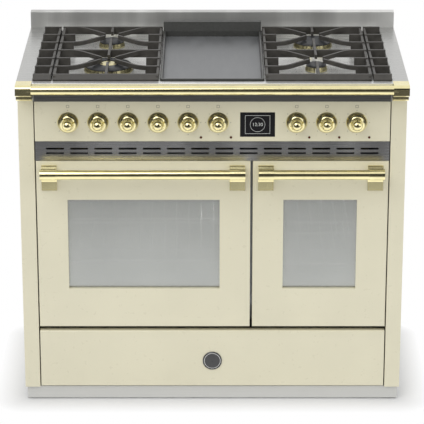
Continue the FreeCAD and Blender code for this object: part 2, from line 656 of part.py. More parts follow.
def swan_bracket(x0, x1, socket_side):
    """Handle bracket: flange on the door, swan-neck arm and a barrel with a blind socket."""
    top = DOOR_TOP - HANDLE_DROP + 8
    axis_y = FRONT - HANDLE_REACH
    axis_z = DOOR_TOP - HANDLE_DROP
    barrel_radius = HANDLE_RADIUS + 1.5
    flange = block(x0, x1, FRONT - FLANGE_THICKNESS, FRONT, top - FLANGE_HEIGHT, top)
    lower = Part.Arc(V(x0, FRONT - 4, top - 44), V(x0, FRONT - 14, top - 30),
                     V(x0, axis_y + 6, axis_z - 11)).toShape()
    upper = Part.Arc(V(x0, axis_y + 4, axis_z + 13), V(x0, FRONT - 26, top - 6),
                     V(x0, FRONT - 4, top)).toShape()
    tip = Part.LineSegment(V(x0, axis_y + 6, axis_z - 11), V(x0, axis_y + 4, axis_z + 13)).toShape()
    root = Part.LineSegment(V(x0, FRONT - 4, top), V(x0, FRONT - 4, top - 44)).toShape()
    arm = Part.Face(Part.Wire([lower, tip, upper, root])).extrude(V(x1 - x0, 0, 0))
    barrel = rod(barrel_radius, V(x0, axis_y, axis_z), V(x1, axis_y, axis_z))
    bracket = fuse([flange, arm, barrel])
    start = x1 if socket_side > 0 else x0
    socket_end = start - socket_side * SOCKET_DEPTH
    socket = rod(HANDLE_RADIUS + 0.1, V(socket_end, axis_y, axis_z),
                 V(start + socket_side, axis_y, axis_z))
    return bracket.cut(socket)


SOCKET_DEPTH = 12.0


def door_handle(door):
    """Handle of one door: tube and its two brackets."""
    left = door[0] + BRACKET_INSET
    right = door[1] - BRACKET_INSET - BRACKET_WIDTH
    y = FRONT - HANDLE_REACH
    z = DOOR_TOP - HANDLE_DROP
    start = V(left + BRACKET_WIDTH - SOCKET_DEPTH, y, z)
    end = V(right + SOCKET_DEPTH, y, z)
    tube = rod(HANDLE_RADIUS, start, end).cut(rod(HANDLE_RADIUS - 2, start, end))
    return [tube, swan_bracket(left, left + BRACKET_WIDTH, 1), swan_bracket(right, right + BRACKET_WIDTH, -1)]


# ---------------------------------------------------------------- drawer
DRAWER_FACE_DEPTH = 20.0
DRAWER_SKIN = 2.0
BOX_HALF = INNER - 30
BOX_BACK = FRONT + 460
BOX_BOTTOM = DRAWER_BOTTOM + 11
BOX_TOP = DRAWER_TOP - 30
RUNNER_Z = DRAWER_BOTTOM + 49.5
RUNNER_HALF_HEIGHT = 14.5
RUNNER_WIDTH = 18.0


def drawer_front():
    """Enamelled pan of the drawer's front, its top edge rolled."""
    half = INNER - SIDE_GAP
    rear = FRONT + DRAWER_FACE_DEPTH
    outer = block(-half, half, FRONT, rear, DRAWER_BOTTOM, DRAWER_TOP)
    outer = round_edges(outer, X_AXIS, [(FRONT, DRAWER_TOP)], 6)
    outer = round_edges(outer, X_AXIS, [(FRONT, DRAWER_BOTTOM)], 2)
    pocket = block(-half + SHEET, half - SHEET, FRONT + DRAWER_SKIN, rear + 1, DRAWER_BOTTOM + SHEET,
                   DRAWER_TOP - 6)
    return outer.cut(pocket)


def drawer_box():
    """Galvanised drawer box, fixed to the back of the front, with a runner along each side."""
    front = FRONT + DRAWER_SKIN
    wall = 1.2
    outer = block(-BOX_HALF, BOX_HALF, front, BOX_BACK, BOX_BOTTOM, BOX_TOP)
    inner = block(-BOX_HALF + wall, BOX_HALF - wall, front + wall, BOX_BACK - wall, BOX_BOTTOM + wall,
                  BOX_TOP + 1)
    outside = -BOX_HALF - RUNNER_WIDTH
    low = RUNNER_Z - RUNNER_HALF_HEIGHT
    high = RUNNER_Z + RUNNER_HALF_HEIGHT
    runner = extrude([V(outside, FRONT + 42, low), V(-BOX_HALF, FRONT + 42, low),
                      V(-BOX_HALF, FRONT + 42, low + 2), V(outside + 3, FRONT + 42, low + 2),
                      V(outside + 3, FRONT + 42, high), V(outside, FRONT + 42, high)],
                     V(0, BOX_BACK - FRONT - 42, 0))
    return fuse([outer.cut(inner), runner, mirrored(runner)])


def drawer_rails():
    """Fixed channels on the cabinet sides that carry the drawer's runners."""
    gap = 0.5
    web_x = -BOX_HALF - RUNNER_WIDTH - gap
    low = RUNNER_Z - RUNNER_HALF_HEIGHT - gap
    high = RUNNER_Z + RUNNER_HALF_HEIGHT + gap
    front = FRONT + 44
    rear = BACK - 40
    web = block(web_x - 2, web_x, front, rear, low - 2, high + 2)
    lower = block(web_x - 2, web_x + 15, front, rear, low - 2, low)
    upper = block(web_x - 2, web_x + 15, front, rear, high, high + 2)
    arm = block(-HALF + SHEET, web_x - 2, front + 20, front + 60, RUNNER_Z - 8, RUNNER_Z + 8)
    rear_arm = arm.translated(V(0, rear - front - 100, 0))
    rail = fuse([web, lower, upper, arm, rear_arm])
    return [rail, mirrored(rail)]


def drawer_badge():
    """Plain round badge, slightly domed."""
    z = (DRAWER_BOTTOM + DRAWER_TOP) / 2 - 6.5
    profile = [(0, 0), (0, 25.5), (-2, 25.5), (-3.2, 24), (-2.4, 22.5), (-3.4, 12), (-3.8, 0)]
    return turned(profile, V(0, FRONT, z), Y_AXIS)


# ---------------------------------------------------------------- control panel
def control_panel():
    """Enamelled strip with its top and bottom turned back, bored for knobs and cut for the display."""
    outer = block(-PANEL_HALF, PANEL_HALF, FRONT, FRONT + 25, CONTROL_BOTTOM, CONTROL_TOP)
    outer = round_edges(outer, X_AXIS, [(FRONT, CONTROL_BOTTOM), (FRONT, CONTROL_TOP)], 1.2)
    inner = block(-PANEL_HALF - 1, PANEL_HALF + 1, FRONT + SHEET, FRONT + 26, CONTROL_BOTTOM + SHEET,
                  CONTROL_TOP - SHEET)
    panel = outer.cut(inner)
    for x in KNOB_X:
        panel = panel.cut(rod(6.5, V(x, FRONT - 1, KNOB_Z), V(x, FRONT + 5, KNOB_Z)))
    half = DISPLAY_WIDTH / 2 + 0.5
    low = CONTROL_BOTTOM + DISPLAY_RISE
    cut_out = block(DISPLAY_X - half, DISPLAY_X + half, FRONT - 1, FRONT + 5, low - 0.5,
                    low + DISPLAY_HEIGHT + 0.5)
    return panel.cut(cut_out)


def display():
    """Black glass front of the clock module, with its housing behind the panel."""
    half = DISPLAY_WIDTH / 2
    low = CONTROL_BOTTOM + DISPLAY_RISE
    face = block(DISPLAY_X - half, DISPLAY_X + half, FRONT - 0.5, FRONT + SHEET, low, low + DISPLAY_HEIGHT)
    housing = block(DISPLAY_X - half - 5, DISPLAY_X + half + 5, FRONT + SHEET, FRONT + 20, low - 5,
                    low + DISPLAY_HEIGHT + 5)
    return face.fuse(housing).removeSplitter()


def knob_bezels():
    """Dished brass ring behind each knob."""
    profile = [(0, 8), (0, 27.5), (-1.5, 27.5), (-4, 25.5), (-4.2, 24), (-2.2, 19.5), (-2, 8)]
    return [turned(profile, V(x, FRONT, KNOB_Z), Y_AXIS) for x in KNOB_X]


KNOB_REAR = 8.0              # back of the knob ahead of the panel
KNOB_RADIUS = 23.0
NOSE_RADIUS = 14.0
NOSE_CENTRE = 28.0


def knob(x):
    """Brass knob: a flared bell, waisted behind a ball nose with a pointer groove, and its spindle."""
    centre = V(x, FRONT, KNOB_Z)

    def at(along, radius):
        return centre + V(radius, -along, 0)

    rim = KNOB_REAR + 1.5
    waist = NOSE_CENTRE - 7
    waist_radius = math.sqrt(NOSE_RADIUS ** 2 - (NOSE_CENTRE - waist) ** 2)
    outline = Part.Wire([
        Part.LineSegment(at(KNOB_REAR, 0), at(KNOB_REAR, KNOB_RADIUS)).toShape(),
        Part.LineSegment(at(KNOB_REAR, KNOB_RADIUS), at(rim, KNOB_RADIUS)).toShape(),
        Part.Arc(at(rim, KNOB_RADIUS), at(rim + 4, 15.2), at(waist, waist_radius)).toShape(),
        Part.Arc(at(waist, waist_radius), at(NOSE_CENTRE, NOSE_RADIUS),
                 at(NOSE_CENTRE + NOSE_RADIUS, 0)).toShape(),
        Part.LineSegment(at(NOSE_CENTRE + NOSE_RADIUS, 0), at(KNOB_REAR, 0)).toShape(),
    ])
    body = Part.Face(outline).revolve(centre, Y_AXIS, 360)
    socket = SPINDLE_RADIUS + RUNNING_GAP
    body = body.cut(rod(socket, at(KNOB_REAR - 1, 0), at(waist, 0)))
    groove = block(x - 1.1, x + 1.1, FRONT - NOSE_CENTRE - 8, FRONT - NOSE_CENTRE + 3,
                   KNOB_Z + NOSE_RADIUS - 1.4, KNOB_Z + NOSE_RADIUS + 2)
    return [body.cut(groove), rod(SPINDLE_RADIUS, at(waist, 0), at(-SPINDLE_END, 0))]


SPINDLE_END = 30.0
PUSHER_RADIUS = 6.0
PUSHER_LENGTH = 18.0


def tap_pusher(x):
    """Plunger inside a gas tap that the spindle presses in before it can turn."""
    start = V(x, FRONT + SPINDLE_END, KNOB_Z)
    plunger = rod(PUSHER_RADIUS, start, start + V(0, PUSHER_LENGTH, 0))
    return plunger.cut(rod(3, start + V(0, 6, 0), start + V(0, PUSHER_LENGTH + 1, 0)))


def gas_tap(x):
    """Brass tap body on the manifold, bored for spindle and plunger."""
    front = FRONT + SHEET
    collar = rod(10, V(x, front, KNOB_Z), V(x, front + 12, KNOB_Z))
    body = rounded_block(x - 14, x + 14, front + 10, front + 58, KNOB_Z - 15, KNOB_Z + 15, Y_AXIS, 5)
    outlet = rod(5, V(x, front + 50, KNOB_Z + 10), V(x, front + 50, KNOB_Z + 34))
    tap = fuse([collar, body, outlet])
    bore = rod(SPINDLE_RADIUS + RUNNING_GAP, V(x, front - 1, KNOB_Z), V(x, front + 30, KNOB_Z))
    chamber = rod(PUSHER_RADIUS + RUNNING_GAP, V(x, FRONT + SPINDLE_END - 2, KNOB_Z),
                  V(x, front + 54, KNOB_Z))
    return tap.cut(bore).cut(chamber)


def gas_manifold():
    """Supply pipe under the taps, running back to the gas inlet, and the four taps."""
    y = FRONT + 40
    bend = 30.0
    end_x = KNOB_X[GAS_KNOBS - 1] + 24
    rear = V(GAS_X, BACK - 2 - NIPPLE_LENGTH, GAS_Z)
    tip = rear + V(0, NIPPLE_LENGTH, 0)
    turn = V(GAS_X + bend, y, GAS_Z)
    middle = turn + V(-bend * math.sqrt(0.5), bend * (1 - math.sqrt(0.5)), 0)
    edges = [
        Part.LineSegment(V(end_x, y, GAS_Z), turn).toShape(),
        Part.Arc(turn, middle, V(GAS_X, y + bend, GAS_Z)).toShape(),
        Part.LineSegment(V(GAS_X, y + bend, GAS_Z), rear).toShape(),
    ]
    hexagon = [rear + V(16 * math.sin(math.pi * side / 3), -12, 16 * math.cos(math.pi * side / 3))
               for side in range(6)]
    nut = extrude(hexagon, V(0, 12, 0))
    cap = rod(GAS_PIPE_RADIUS + 1.5, V(end_x - 4, y, GAS_Z), V(end_x + 6, y, GAS_Z))
    pipe = fuse([swept(GAS_PIPE_RADIUS, edges), cap, nut, rod(NIPPLE_RADIUS, rear, tip)])
    pipe = pipe.cut(rod(7.5, rear - V(0, 60, 0), tip + Y_AXIS))
    return [pipe] + [gas_tap(KNOB_X[index]) for index in range(GAS_KNOBS)]


def control_switches():
    """Thermostats and selectors behind the electric knobs, bored for their spindles."""
    switches = []
    for x in KNOB_X[GAS_KNOBS:]:
        front = FRONT + SHEET
        profile = [(0, 0), (0, 9), (6, 9), (6, 21), (30, 21), (30, 17), (42, 17), (42, 0)]
        body = turned(profile, V(x, front, KNOB_Z), Y_AXIS)
        bore = rod(SPINDLE_RADIUS + RUNNING_GAP, V(x, front - 1, KNOB_Z), V(x, FRONT + SPINDLE_END + 1, KNOB_Z))
        switches.append(body.cut(bore))
    return switches


def vent_strip():
    """Stainless strip between doors and controls, punched with rows of slots."""
    outer = block(-PANEL_HALF, PANEL_HALF, FRONT, FRAME_FRONT, VENT_BOTTOM, CONTROL_BOTTOM)
    inner = block(-PANEL_HALF - 1, PANEL_HALF + 1, FRONT + SHEET, FRAME_FRONT + 1, VENT_BOTTOM + SHEET,
                  CONTROL_BOTTOM - SHEET)
    strip = outer.cut(inner)
    slot = rounded_block(-SLOT_LENGTH / 2, SLOT_LENGTH / 2, FRONT - 2, FRONT + 5, -SLOT_HEIGHT / 2,
                         SLOT_HEIGHT / 2, Y_AXIS, 1.5)
    cuts = []
    for column in range(SLOT_COLUMNS):
        x = (column - (SLOT_COLUMNS - 1) / 2) * SLOT_PITCH
        for row in range(SLOT_ROWS):
            cuts.append(slot.translated(V(x, 0, VENT_BOTTOM + SLOT_RISE + row * SLOT_ROW_PITCH)))
    return strip.cut(Part.makeCompound(cuts))


def supply_box():
    """Mains terminal box inside the back panel, with its cable gland through it."""
    rear = BACK - SHEET
    box = rounded_block(CABLE_X - 55, CABLE_X + 55, rear - 40, rear, CABLE_Z - 28, CABLE_Z + 45, Y_AXIS, 6)
    gland = rod(GLAND_RADIUS - 0.2, V(CABLE_X, rear - 1, CABLE_Z), V(CABLE_X, BACK, CABLE_Z))
    return box.fuse(gland).cut(rod(7, V(CABLE_X, rear - 30, CABLE_Z), V(CABLE_X, BACK + 1, CABLE_Z)))


# ---------------------------------------------------------------- hob
GRIDDLE_FRONT = FRONT - TRAY_FRONT + 4
GRIDDLE_REAR = TRAY_REAR - 3
PLATE_TOP = HOB_HEIGHT - GRIDDLE_DROP
PLATE_BOTTOM = PLATE_TOP - GRIDDLE_PLATE


def pedestal(x, y, radius, lift):
    """Four-sided pressed pedestal that narrows to the burner."""
    half = PEDESTAL_HALF
    top = min(radius + 3, half - 4)
    lower = Part.makePolygon([V(x - half, y - half, 0), V(x + half, y - half, 0), V(x + half, y + half, 0),
                              V(x - half, y + half, 0), V(x - half, y - half, 0)])
    upper = Part.makePolygon([V(x - top, y - top, PEDESTAL), V(x + top, y - top, PEDESTAL),
                              V(x + top, y + top, PEDESTAL), V(x - top, y + top, PEDESTAL),
                              V(x - top, y - top, PEDESTAL)])
    solid = Part.makeLoft([lower, upper], True, True)
    return solid.translated(V(0, 0, TRAY_FLOOR + lift))


def griddle_block(inset, low, high, corner, rear_inset=0.0):
    """Rounded block set in from the griddle's outline, and further in at its back if asked."""
    half = GRIDDLE_HALF - inset
    return rounded_block(-half, half, GRIDDLE_FRONT + inset, GRIDDLE_REAR - inset - rear_inset, low, high,
                         Z_AXIS, corner)


def hob_deck():
    """Pressed stainless hob: rim, sunk tray with burner pedestals, skirts, front lip and apron."""
    lip = FRONT - LIP_REACH
    notch = FRONT - 21
    tray_front = FRONT - TRAY_FRONT
    rim = block(-HALF, HALF, lip, HOB_BACK, HOB_HEIGHT - SHEET, HOB_HEIGHT)
    for x0, x1 in ((-HALF - 1, -INNER), (INNER, HALF + 1)):
        rim = rim.cut(block(x0, x1, lip - 1, notch, HOB_HEIGHT - 5, HOB_HEIGHT + 1))
    pan = rounded_block(-TRAY_HALF - SHEET, TRAY_HALF + SHEET, tray_front - SHEET, TRAY_REAR + SHEET,
                        TRAY_FLOOR - SHEET, HOB_HEIGHT, Z_AXIS, TRAY_CORNER + SHEET)
    well = rounded_block(-TRAY_HALF, TRAY_HALF, tray_front, TRAY_REAR, TRAY_FLOOR, HOB_HEIGHT + 1,
                         Z_AXIS, TRAY_CORNER)
    skirts = []
    for x0 in (-HALF, HALF - SHEET):
        skirts.append(block(x0, x0 + SHEET, notch, HOB_BACK, SIDE_TOP, HOB_HEIGHT))
    skirts.append(block(-HALF, HALF, HOB_BACK - SHEET, HOB_BACK, SIDE_TOP, HOB_HEIGHT))
    for x0 in (-HALF, HALF - 15):
        skirts.append(block(x0, x0 + 15, FRONT, HOB_BACK, SIDE_TOP, SIDE_TOP + SHEET))
    lip_bottom = TRAY_FLOOR - SHEET - 3
    apron_face = FRONT - 3
    front_lip = block(-INNER, INNER, lip, lip + SHEET, lip_bottom, HOB_HEIGHT)
    soffit = block(-INNER, INNER, lip, apron_face + SHEET, lip_bottom, lip_bottom + SHEET)
    apron = block(-INNER, INNER, apron_face, apron_face + SHEET, CONTROL_TOP, lip_bottom + SHEET)
    seat = block(-PANEL_HALF, PANEL_HALF, apron_face, FRONT + 20, CONTROL_TOP, CONTROL_TOP + SHEET)
    deck = fuse([rim, pan, front_lip, soffit, apron, seat] + skirts).cut(well)
    raised = [pedestal(x, y, radius, 0) for x, y, radius in BURNERS]
    sunk = [pedestal(x, y, radius, -SHEET) for x, y, radius in BURNERS]
    under = block(-TRAY_HALF, TRAY_HALF, tray_front, TRAY_REAR, TRAY_FLOOR - SHEET - 20, TRAY_FLOOR - SHEET)
    deck = deck.multiFuse(raised).cut(Part.makeCompound([piece.cut(under) for piece in sunk]))
    for x, y, radius in BURNERS:
        deck = deck.cut(rod(radius - 9.5, V(x, y, TRAY_FLOOR - 10), V(x, y, HOB_HEIGHT)))
    deck = deck.cut(griddle_block(GRIDDLE_FOOT, TRAY_FLOOR - 10, TRAY_FLOOR + 5, 8))
    deck = deck.removeSplitter()
    return round_edges(deck, X_AXIS, [(lip, HOB_HEIGHT)], 1.2)


def backguard():
    """Plain stainless upstand behind the hob: a folded box, open below."""
    top = HOB_HEIGHT + BACKGUARD_HEIGHT
    outer = block(-HALF, HALF, HOB_BACK, BACK, SIDE_TOP, top)
    outer = round_edges(outer, X_AXIS, [(HOB_BACK, top), (BACK, top)], 2.5)
    inner = block(-HALF + SHEET, HALF - SHEET, HOB_BACK + SHEET, BACK - SHEET, SIDE_TOP - 1, top - SHEET)
    return outer.cut(inner)


def rail_corner():
    """Left brass corner of the front rail: rounded tiers that step back down to the post."""
    rear = FRONT - 21
    front = FRONT - RAIL_REACH
    top = HOB_HEIGHT
    points = [V(-HALF, rear, top), V(-HALF, front + 11, top)]
    crest = V(-HALF, front + 11 - 11 * math.sqrt(0.5), top - 11 + 11 * math.sqrt(0.5))
    edges = [
        Part.LineSegment(points[0], points[1]).toShape(),
        Part.Arc(points[1], crest, V(-HALF, front, top - 11)).toShape(),
    ]
    outline = [
        V(-HALF, front, top - 11), V(-HALF, front, top - 25), V(-HALF, front + 6, top - 29),
        V(-HALF, front + 22, top - 31), V(-HALF, front + 25, top - 34), V(-HALF, front + 25, top - 42),
        V(-HALF, front + 31, top - 47), V(-HALF, FRONT, top - 47), V(-HALF, FRONT, SIDE_TOP),
        V(-HALF, rear, SIDE_TOP), V(-HALF, rear, top),
    ]
    for start, end in zip(outline, outline[1:]):
        edges.append(Part.LineSegment(start, end).toShape())
    corner = Part.Face(Part.Wire(edges)).extrude(V(POST_WIDTH, 0, 0))
    y = FRONT - RAIL_REACH + RAIL_RADIUS
    z = HOB_HEIGHT - RAIL_RADIUS - 1.5
    socket = rod(RAIL_RADIUS + 0.1, V(-INNER - SOCKET_DEPTH, y, z), V(-INNER + 1, y, z))
    return corner.cut(socket)


def front_rail():
    """Brass rail across the front of the hob, with its two corners."""
    y = FRONT - RAIL_REACH + RAIL_RADIUS
    z = HOB_HEIGHT - RAIL_RADIUS - 1.5
    start = V(-INNER - SOCKET_DEPTH, y, z)
    end = V(INNER + SOCKET_DEPTH, y, z)
    tube = rod(RAIL_RADIUS, start, end).cut(rod(RAIL_RADIUS - 2, start, end))
    corner = rail_corner()
    return [tube, corner, mirrored(corner)]


def griddle():
    """Electric griddle: dark frame in the hob's cut-out, higher at the back, and the plate on its ledge."""
    half = GRIDDLE_HALF
    rim_top = HOB_HEIGHT + GRIDDLE_RISE
    back_top = HOB_HEIGHT + GRIDDLE_BACK_RISE
    step = GRIDDLE_REAR - GRIDDLE_BACK_DEPTH
    rim = griddle_block(0, TRAY_FLOOR, rim_top, 8)
    spigot = griddle_block(GRIDDLE_FOOT + GRIDDLE_PLAY, TRAY_FLOOR - GRIDDLE_SPIGOT, TRAY_FLOOR + 1, 7)
    back = extrude([V(-half, step, TRAY_FLOOR), V(-half, step, rim_top), V(-half, step + 7, back_top),
                    V(-half, GRIDDLE_REAR, back_top), V(-half, GRIDDLE_REAR, TRAY_FLOOR)],
                   V(2 * half, 0, 0))
    to_step = GRIDDLE_BACK_DEPTH - GRIDDLE_WALL
    well = griddle_block(GRIDDLE_WALL, PLATE_BOTTOM, back_top + 1, 2.5)
    hollow = griddle_block(GRIDDLE_WALL + GRIDDLE_LEDGE, TRAY_FLOOR - GRIDDLE_SPIGOT - 1, PLATE_BOTTOM + 1,
                           2.5, to_step)
    frame = fuse([rim, spigot]).cut(well)
    frame = fuse([frame, back]).cut(hollow)
    lips = [edge for edge in frame.Edges if abs(edge.CenterOfMass.z - rim_top) < 0.01]
    frame = frame.makeFillet(1.5, [edge for edge in lips if edge.CenterOfMass.y < step - 8])
    plate = griddle_block(GRIDDLE_WALL + GRIDDLE_PLAY, PLATE_BOTTOM, PLATE_TOP, 2, to_step)
    return [frame, plate]


def burner_base(x, y, radius):
    """Aluminium cup through the hob with a flange on the pedestal."""
    profile = [(0, 0), (0, radius - 16), (6, radius - 10), (26, radius - 10), (26, radius - 1),
               (26 + FLANGE, radius - 1), (26 + FLANGE, 0)]
    return turned(profile, V(x, y, SEAT_Z - 26), Z_AXIS)


def burner_crown(x, y, radius):
    """Brass flame ring with radial ports."""
    low = SEAT_Z + FLANGE
    foot = turned([(0, radius - 8), (0, radius), (3, radius), (CROWN_HEIGHT, radius - 2.5),
                   (CROWN_HEIGHT, radius - 8)], V(x, y, low), Z_AXIS)
    count = int(radius * 0.5)
    ports = []
    for index in range(count):
        port = block(x + radius - 12, x + radius + 2, y - 0.9, y + 0.9, low + 5, CROWN_TOP + 1)
        ports.append(port.rotated(V(x, y, 0), Z_AXIS, 360 * index / count))
    return foot.cut(Part.makeCompound(ports))


def burner_cap(x, y, radius, bore=0.0):
    """Black enamelled cap, thin at its edge, with a hole where a burner has a heart."""
    edge = radius - 3
    profile = [(0, bore), (0, edge), (2.5, edge), (5, edge - 3), (CAP_HEIGHT, edge - 14), (CAP_HEIGHT, bore)]
    return turned(profile, V(x, y, CROWN_TOP), Z_AXIS)


def burner_heart(x, y):
    """Brass inner crown of the wok burner, standing through its ring cap."""
    height = CAP_TOP - SEAT_Z - FLANGE
    profile = [(0, 0), (0, WOK_HEART - 4), (height - 3, WOK_HEART - 4), (height - 3, WOK_HEART),
               (height - 1, WOK_HEART), (height + 0.6, WOK_HEART - 6), (height + 1, 0)]
    return turned(profile, V(x, y, SEAT_Z + FLANGE), Z_AXIS)


# ---------------------------------------------------------------- grates
def cross_bar(x0, x1, y, depth=GRATE_BAR):
    return block(x0, x1, y - BAR_WIDTH / 2, y + BAR_WIDTH / 2, GRATE_TOP - depth, GRATE_TOP)


def front_bar(x0, x1):
    """Front bar of a grate, its face sloped towards the cook."""
    y = ROWS[0]
    low = TRAY_FLOOR + 12
    return extrude([V(x0, y + 6, low), V(x0, y + 6, GRATE_TOP), V(x0, y, GRATE_TOP),
                    V(x0, y - 8, GRATE_TOP - 12), V(x0, y - 8, low)], V(x1 - x0, 0, 0))


def finger(x, y, side, way):
    """Curved pan finger: along its row from the side rail, then a bend in towards the burner."""
    start = V(x + side * (BURNER_HALF - 2), y + way * ROW_PITCH, 0)
    bend = V(x + side * 84, y + way * ROW_PITCH, 0)
    tip = V(x + side * 20, y + way * 12, 0)
    inward = (tip - bend).normalize()
    along = V(-side, 0, 0)
    setback = 24.0
    enter = bend - along * setback
    leave = bend + inward * setback
    half_turn = along.getAngle(inward) / 2
    radius = setback / math.tan(half_turn)
    bisector = (inward - along).normalize()
    crown = bend + bisector * (radius / math.cos(half_turn) - radius)
    path = Part.Wire([
        Part.LineSegment(start, enter).toShape(),
        Part.Arc(enter, crown, leave).toShape(),
        Part.LineSegment(leave, tip).toShape(),
    ])
    outline = path.makeOffset2D(3.2, 0, False, False)
    solid = Part.Face(outline).extrude(V(0, 0, FINGER_DEPTH))
    return solid.translated(V(0, 0, GRATE_TOP - FINGER_DEPTH))


BURNER_HALF = (GRATE_OUTER - GRATE_INNER) / 2
STUB_LENGTH = 36.0
FOOT_HALF = 5.0


def main_grate():
    """Right cast-iron grate over two burners: rails, cross bars, stubs and curved fingers."""
    x0, x1 = GRATE_INNER, GRATE_OUTER
    rails = []
    for low in (x0, x1 - 6):
        rails.append(block(low, low + 6, ROWS[0], ROWS[-1] + BAR_WIDTH / 2, GRATE_TOP - GRATE_BAR,
                           GRATE_TOP - 2))
        for row in (0, 3, 6):
            y = ROWS[row]
            rails.append(block(low, low + 6, y - FOOT_HALF, y + FOOT_HALF, TRAY_FLOOR, GRATE_TOP - 4))
    bars = [front_bar(x0, x1), cross_bar(x0, x1, ROWS[3]), cross_bar(x0, x1, ROWS[6])]
    for row in (1, 2, 4, 5):
        bars.append(cross_bar(x0, x0 + STUB_LENGTH, ROWS[row]))
        bars.append(cross_bar(x1 - STUB_LENGTH, x1, ROWS[row]))
    fingers = []
    for y in (ROWS[FRONT_BURNER_ROW], ROWS[BACK_BURNER_ROW]):
        for side in (-1, 1):
            for way in (-1, 1):
                fingers.append(finger(BURNER_X, y, side, way))
        fingers.append(block(BURNER_X - 3.2, BURNER_X + 3.2, y + 26, y + ROW_PITCH, GRATE_TOP - GRATE_BAR,
                             GRATE_TOP))
        front_end = ROWS[0] if y == ROWS[FRONT_BURNER_ROW] else ROWS[3]
        fingers.append(block(BURNER_X - 3.2, BURNER_X + 3.2, front_end, y - 40, GRATE_TOP - GRATE_BAR,
                             GRATE_TOP))
    grate = fuse(rails + bars + fingers)
    for y in (ROWS[FRONT_BURNER_ROW], ROWS[BACK_BURNER_ROW]):
        clear = FRONT_LEFT_BURNER + 5
        well = Part.makeCone(clear + 12, clear, GRATE_TOP - FINGER_DEPTH - TRAY_FLOOR + 5,
                             V(BURNER_X, y, TRAY_FLOOR - 5), Z_AXIS)
        grate = grate.cut(well)
    return grate


def side_grate():
    """Right narrow grate beside the main one: a rail with seven stepped bars."""
    x0 = SIDE_GRATE_OUTER - SIDE_GRATE_WIDTH
    x1 = SIDE_GRATE_OUTER
    pieces = [block(x0, x0 + 6, ROWS[0], ROWS[-1] + BAR_WIDTH / 2, GRATE_TOP - GRATE_BAR, GRATE_TOP - 2)]
    pieces.append(front_bar(x0, x1))
    for y in ROWS[1:]:
        bar = cross_bar(x0, x1, y, SIDE_BAR)
        pieces.append(round_edges(bar, Z_AXIS, [(x1, y - BAR_WIDTH / 2), (x1, y + BAR_WIDTH / 2)], 3))
    for row in (0, 3, 6):
        y = ROWS[row]
        for low in (x0, x1 - 12):
            pieces.append(block(low, low + 6, y - FOOT_HALF / 2, y + FOOT_HALF / 2, TRAY_FLOOR,
                                GRATE_TOP - 4))
    return fuse(pieces)


# ---------------------------------------------------------------- write every piece
os.makedirs("parts", exist_ok=True)

side = side_panel()
save("side_panels", side, mirrored(side))
save("back_panel", back_panel())
save("base_pan", base_pan())
save("plinth", plinth())
save("levelling_feet", *levelling_feet())
save("oven_chassis", oven_chassis())
save("door_gaskets", *door_gaskets())
save("oven_liner_left", oven_liner(LEFT_DOOR, True))
save("oven_liner_right", oven_liner(RIGHT_DOOR, False))
save("oven_insulation", *oven_insulation())
save("fan_cover", fan_cover())
save("fan_motor", fan_motor())
save("fan_wheel", fan_wheel())
save("heating_elements", *heating_elements())
save("rack_runners", *rack_runners())
save("oven_racks", *oven_racks())
save("door_hinges", *door_hinges())
for name, door in (("left", LEFT_DOOR), ("right", RIGHT_DOOR)):
    save("door_" + name + "_panel", door_panel(door))
    save("door_" + name + "_glass", *door_glass(door))
    save("door_" + name + "_inner_frame", door_inner_frame(door))
    save("door_" + name + "_handle", *door_handle(door))
save("drawer_front", drawer_front())
save("drawer_box", drawer_box())
save("drawer_rails", *drawer_rails())
save("drawer_badge", drawer_badge())
save("control_panel", control_panel())
save("display", display())
save("knob_bezels", *knob_bezels())
for index, x in enumerate(KNOB_X):
    save("knob_" + str(index + 1), *knob(x))
for index in range(GAS_KNOBS):
    save("tap_pusher_" + str(index + 1), tap_pusher(KNOB_X[index]))
save("gas_manifold", *gas_manifold())
save("control_switches", *control_switches())
save("vent_strip", vent_strip())
save("supply_box", supply_box())
save("hob_deck", hob_deck())
save("backguard", backguard())
save("front_rail", *front_rail())
save("griddle", *griddle())
save("burner_bases", *[burner_base(*place) for place in BURNERS])
crowns = [burner_crown(*place) for place in BURNERS]
save("burner_crowns", *crowns, burner_heart(*BURNERS[0][:2]))
save("burner_caps", burner_cap(*BURNERS[0], WOK_BORE), *[burner_cap(*place) for place in BURNERS[1:]])
right_grate = main_grate()
right_side_grate = side_grate()
save("grate_right", right_grate)
save("grate_left", mirrored(right_grate))
save("side_grate_right", right_side_grate)
save("side_grate_left", mirrored(right_side_grate))
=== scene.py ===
"""Looks of a range cooker with two ovens: finishes for its CAD nodes, small trim, studio and camera."""
import math

import bmesh
import bpy
from bpy.props import FloatProperty, FloatVectorProperty, IntProperty, PointerProperty
from mathutils import Matrix, Vector


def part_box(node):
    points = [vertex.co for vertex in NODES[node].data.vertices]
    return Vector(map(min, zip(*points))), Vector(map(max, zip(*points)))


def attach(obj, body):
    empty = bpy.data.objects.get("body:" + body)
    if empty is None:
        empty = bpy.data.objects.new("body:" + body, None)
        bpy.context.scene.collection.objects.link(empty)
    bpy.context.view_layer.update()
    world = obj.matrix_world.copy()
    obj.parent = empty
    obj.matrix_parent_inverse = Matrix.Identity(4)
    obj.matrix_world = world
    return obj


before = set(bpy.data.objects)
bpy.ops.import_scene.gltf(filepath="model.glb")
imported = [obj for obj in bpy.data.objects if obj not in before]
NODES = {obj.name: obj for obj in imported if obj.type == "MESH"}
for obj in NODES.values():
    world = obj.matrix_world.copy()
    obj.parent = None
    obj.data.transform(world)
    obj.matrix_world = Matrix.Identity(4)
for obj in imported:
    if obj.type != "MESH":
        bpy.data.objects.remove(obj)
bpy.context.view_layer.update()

bl_info = {
    "name": "Range Cooker",
    "version": (1, 0, 0),
    "blender": (4, 5, 0),
    "location": "3D View > Sidebar > Cooker",
    "description": "Finishes, small trim and studio for a range cooker with two ovens",
    "category": "Add Mesh",
}

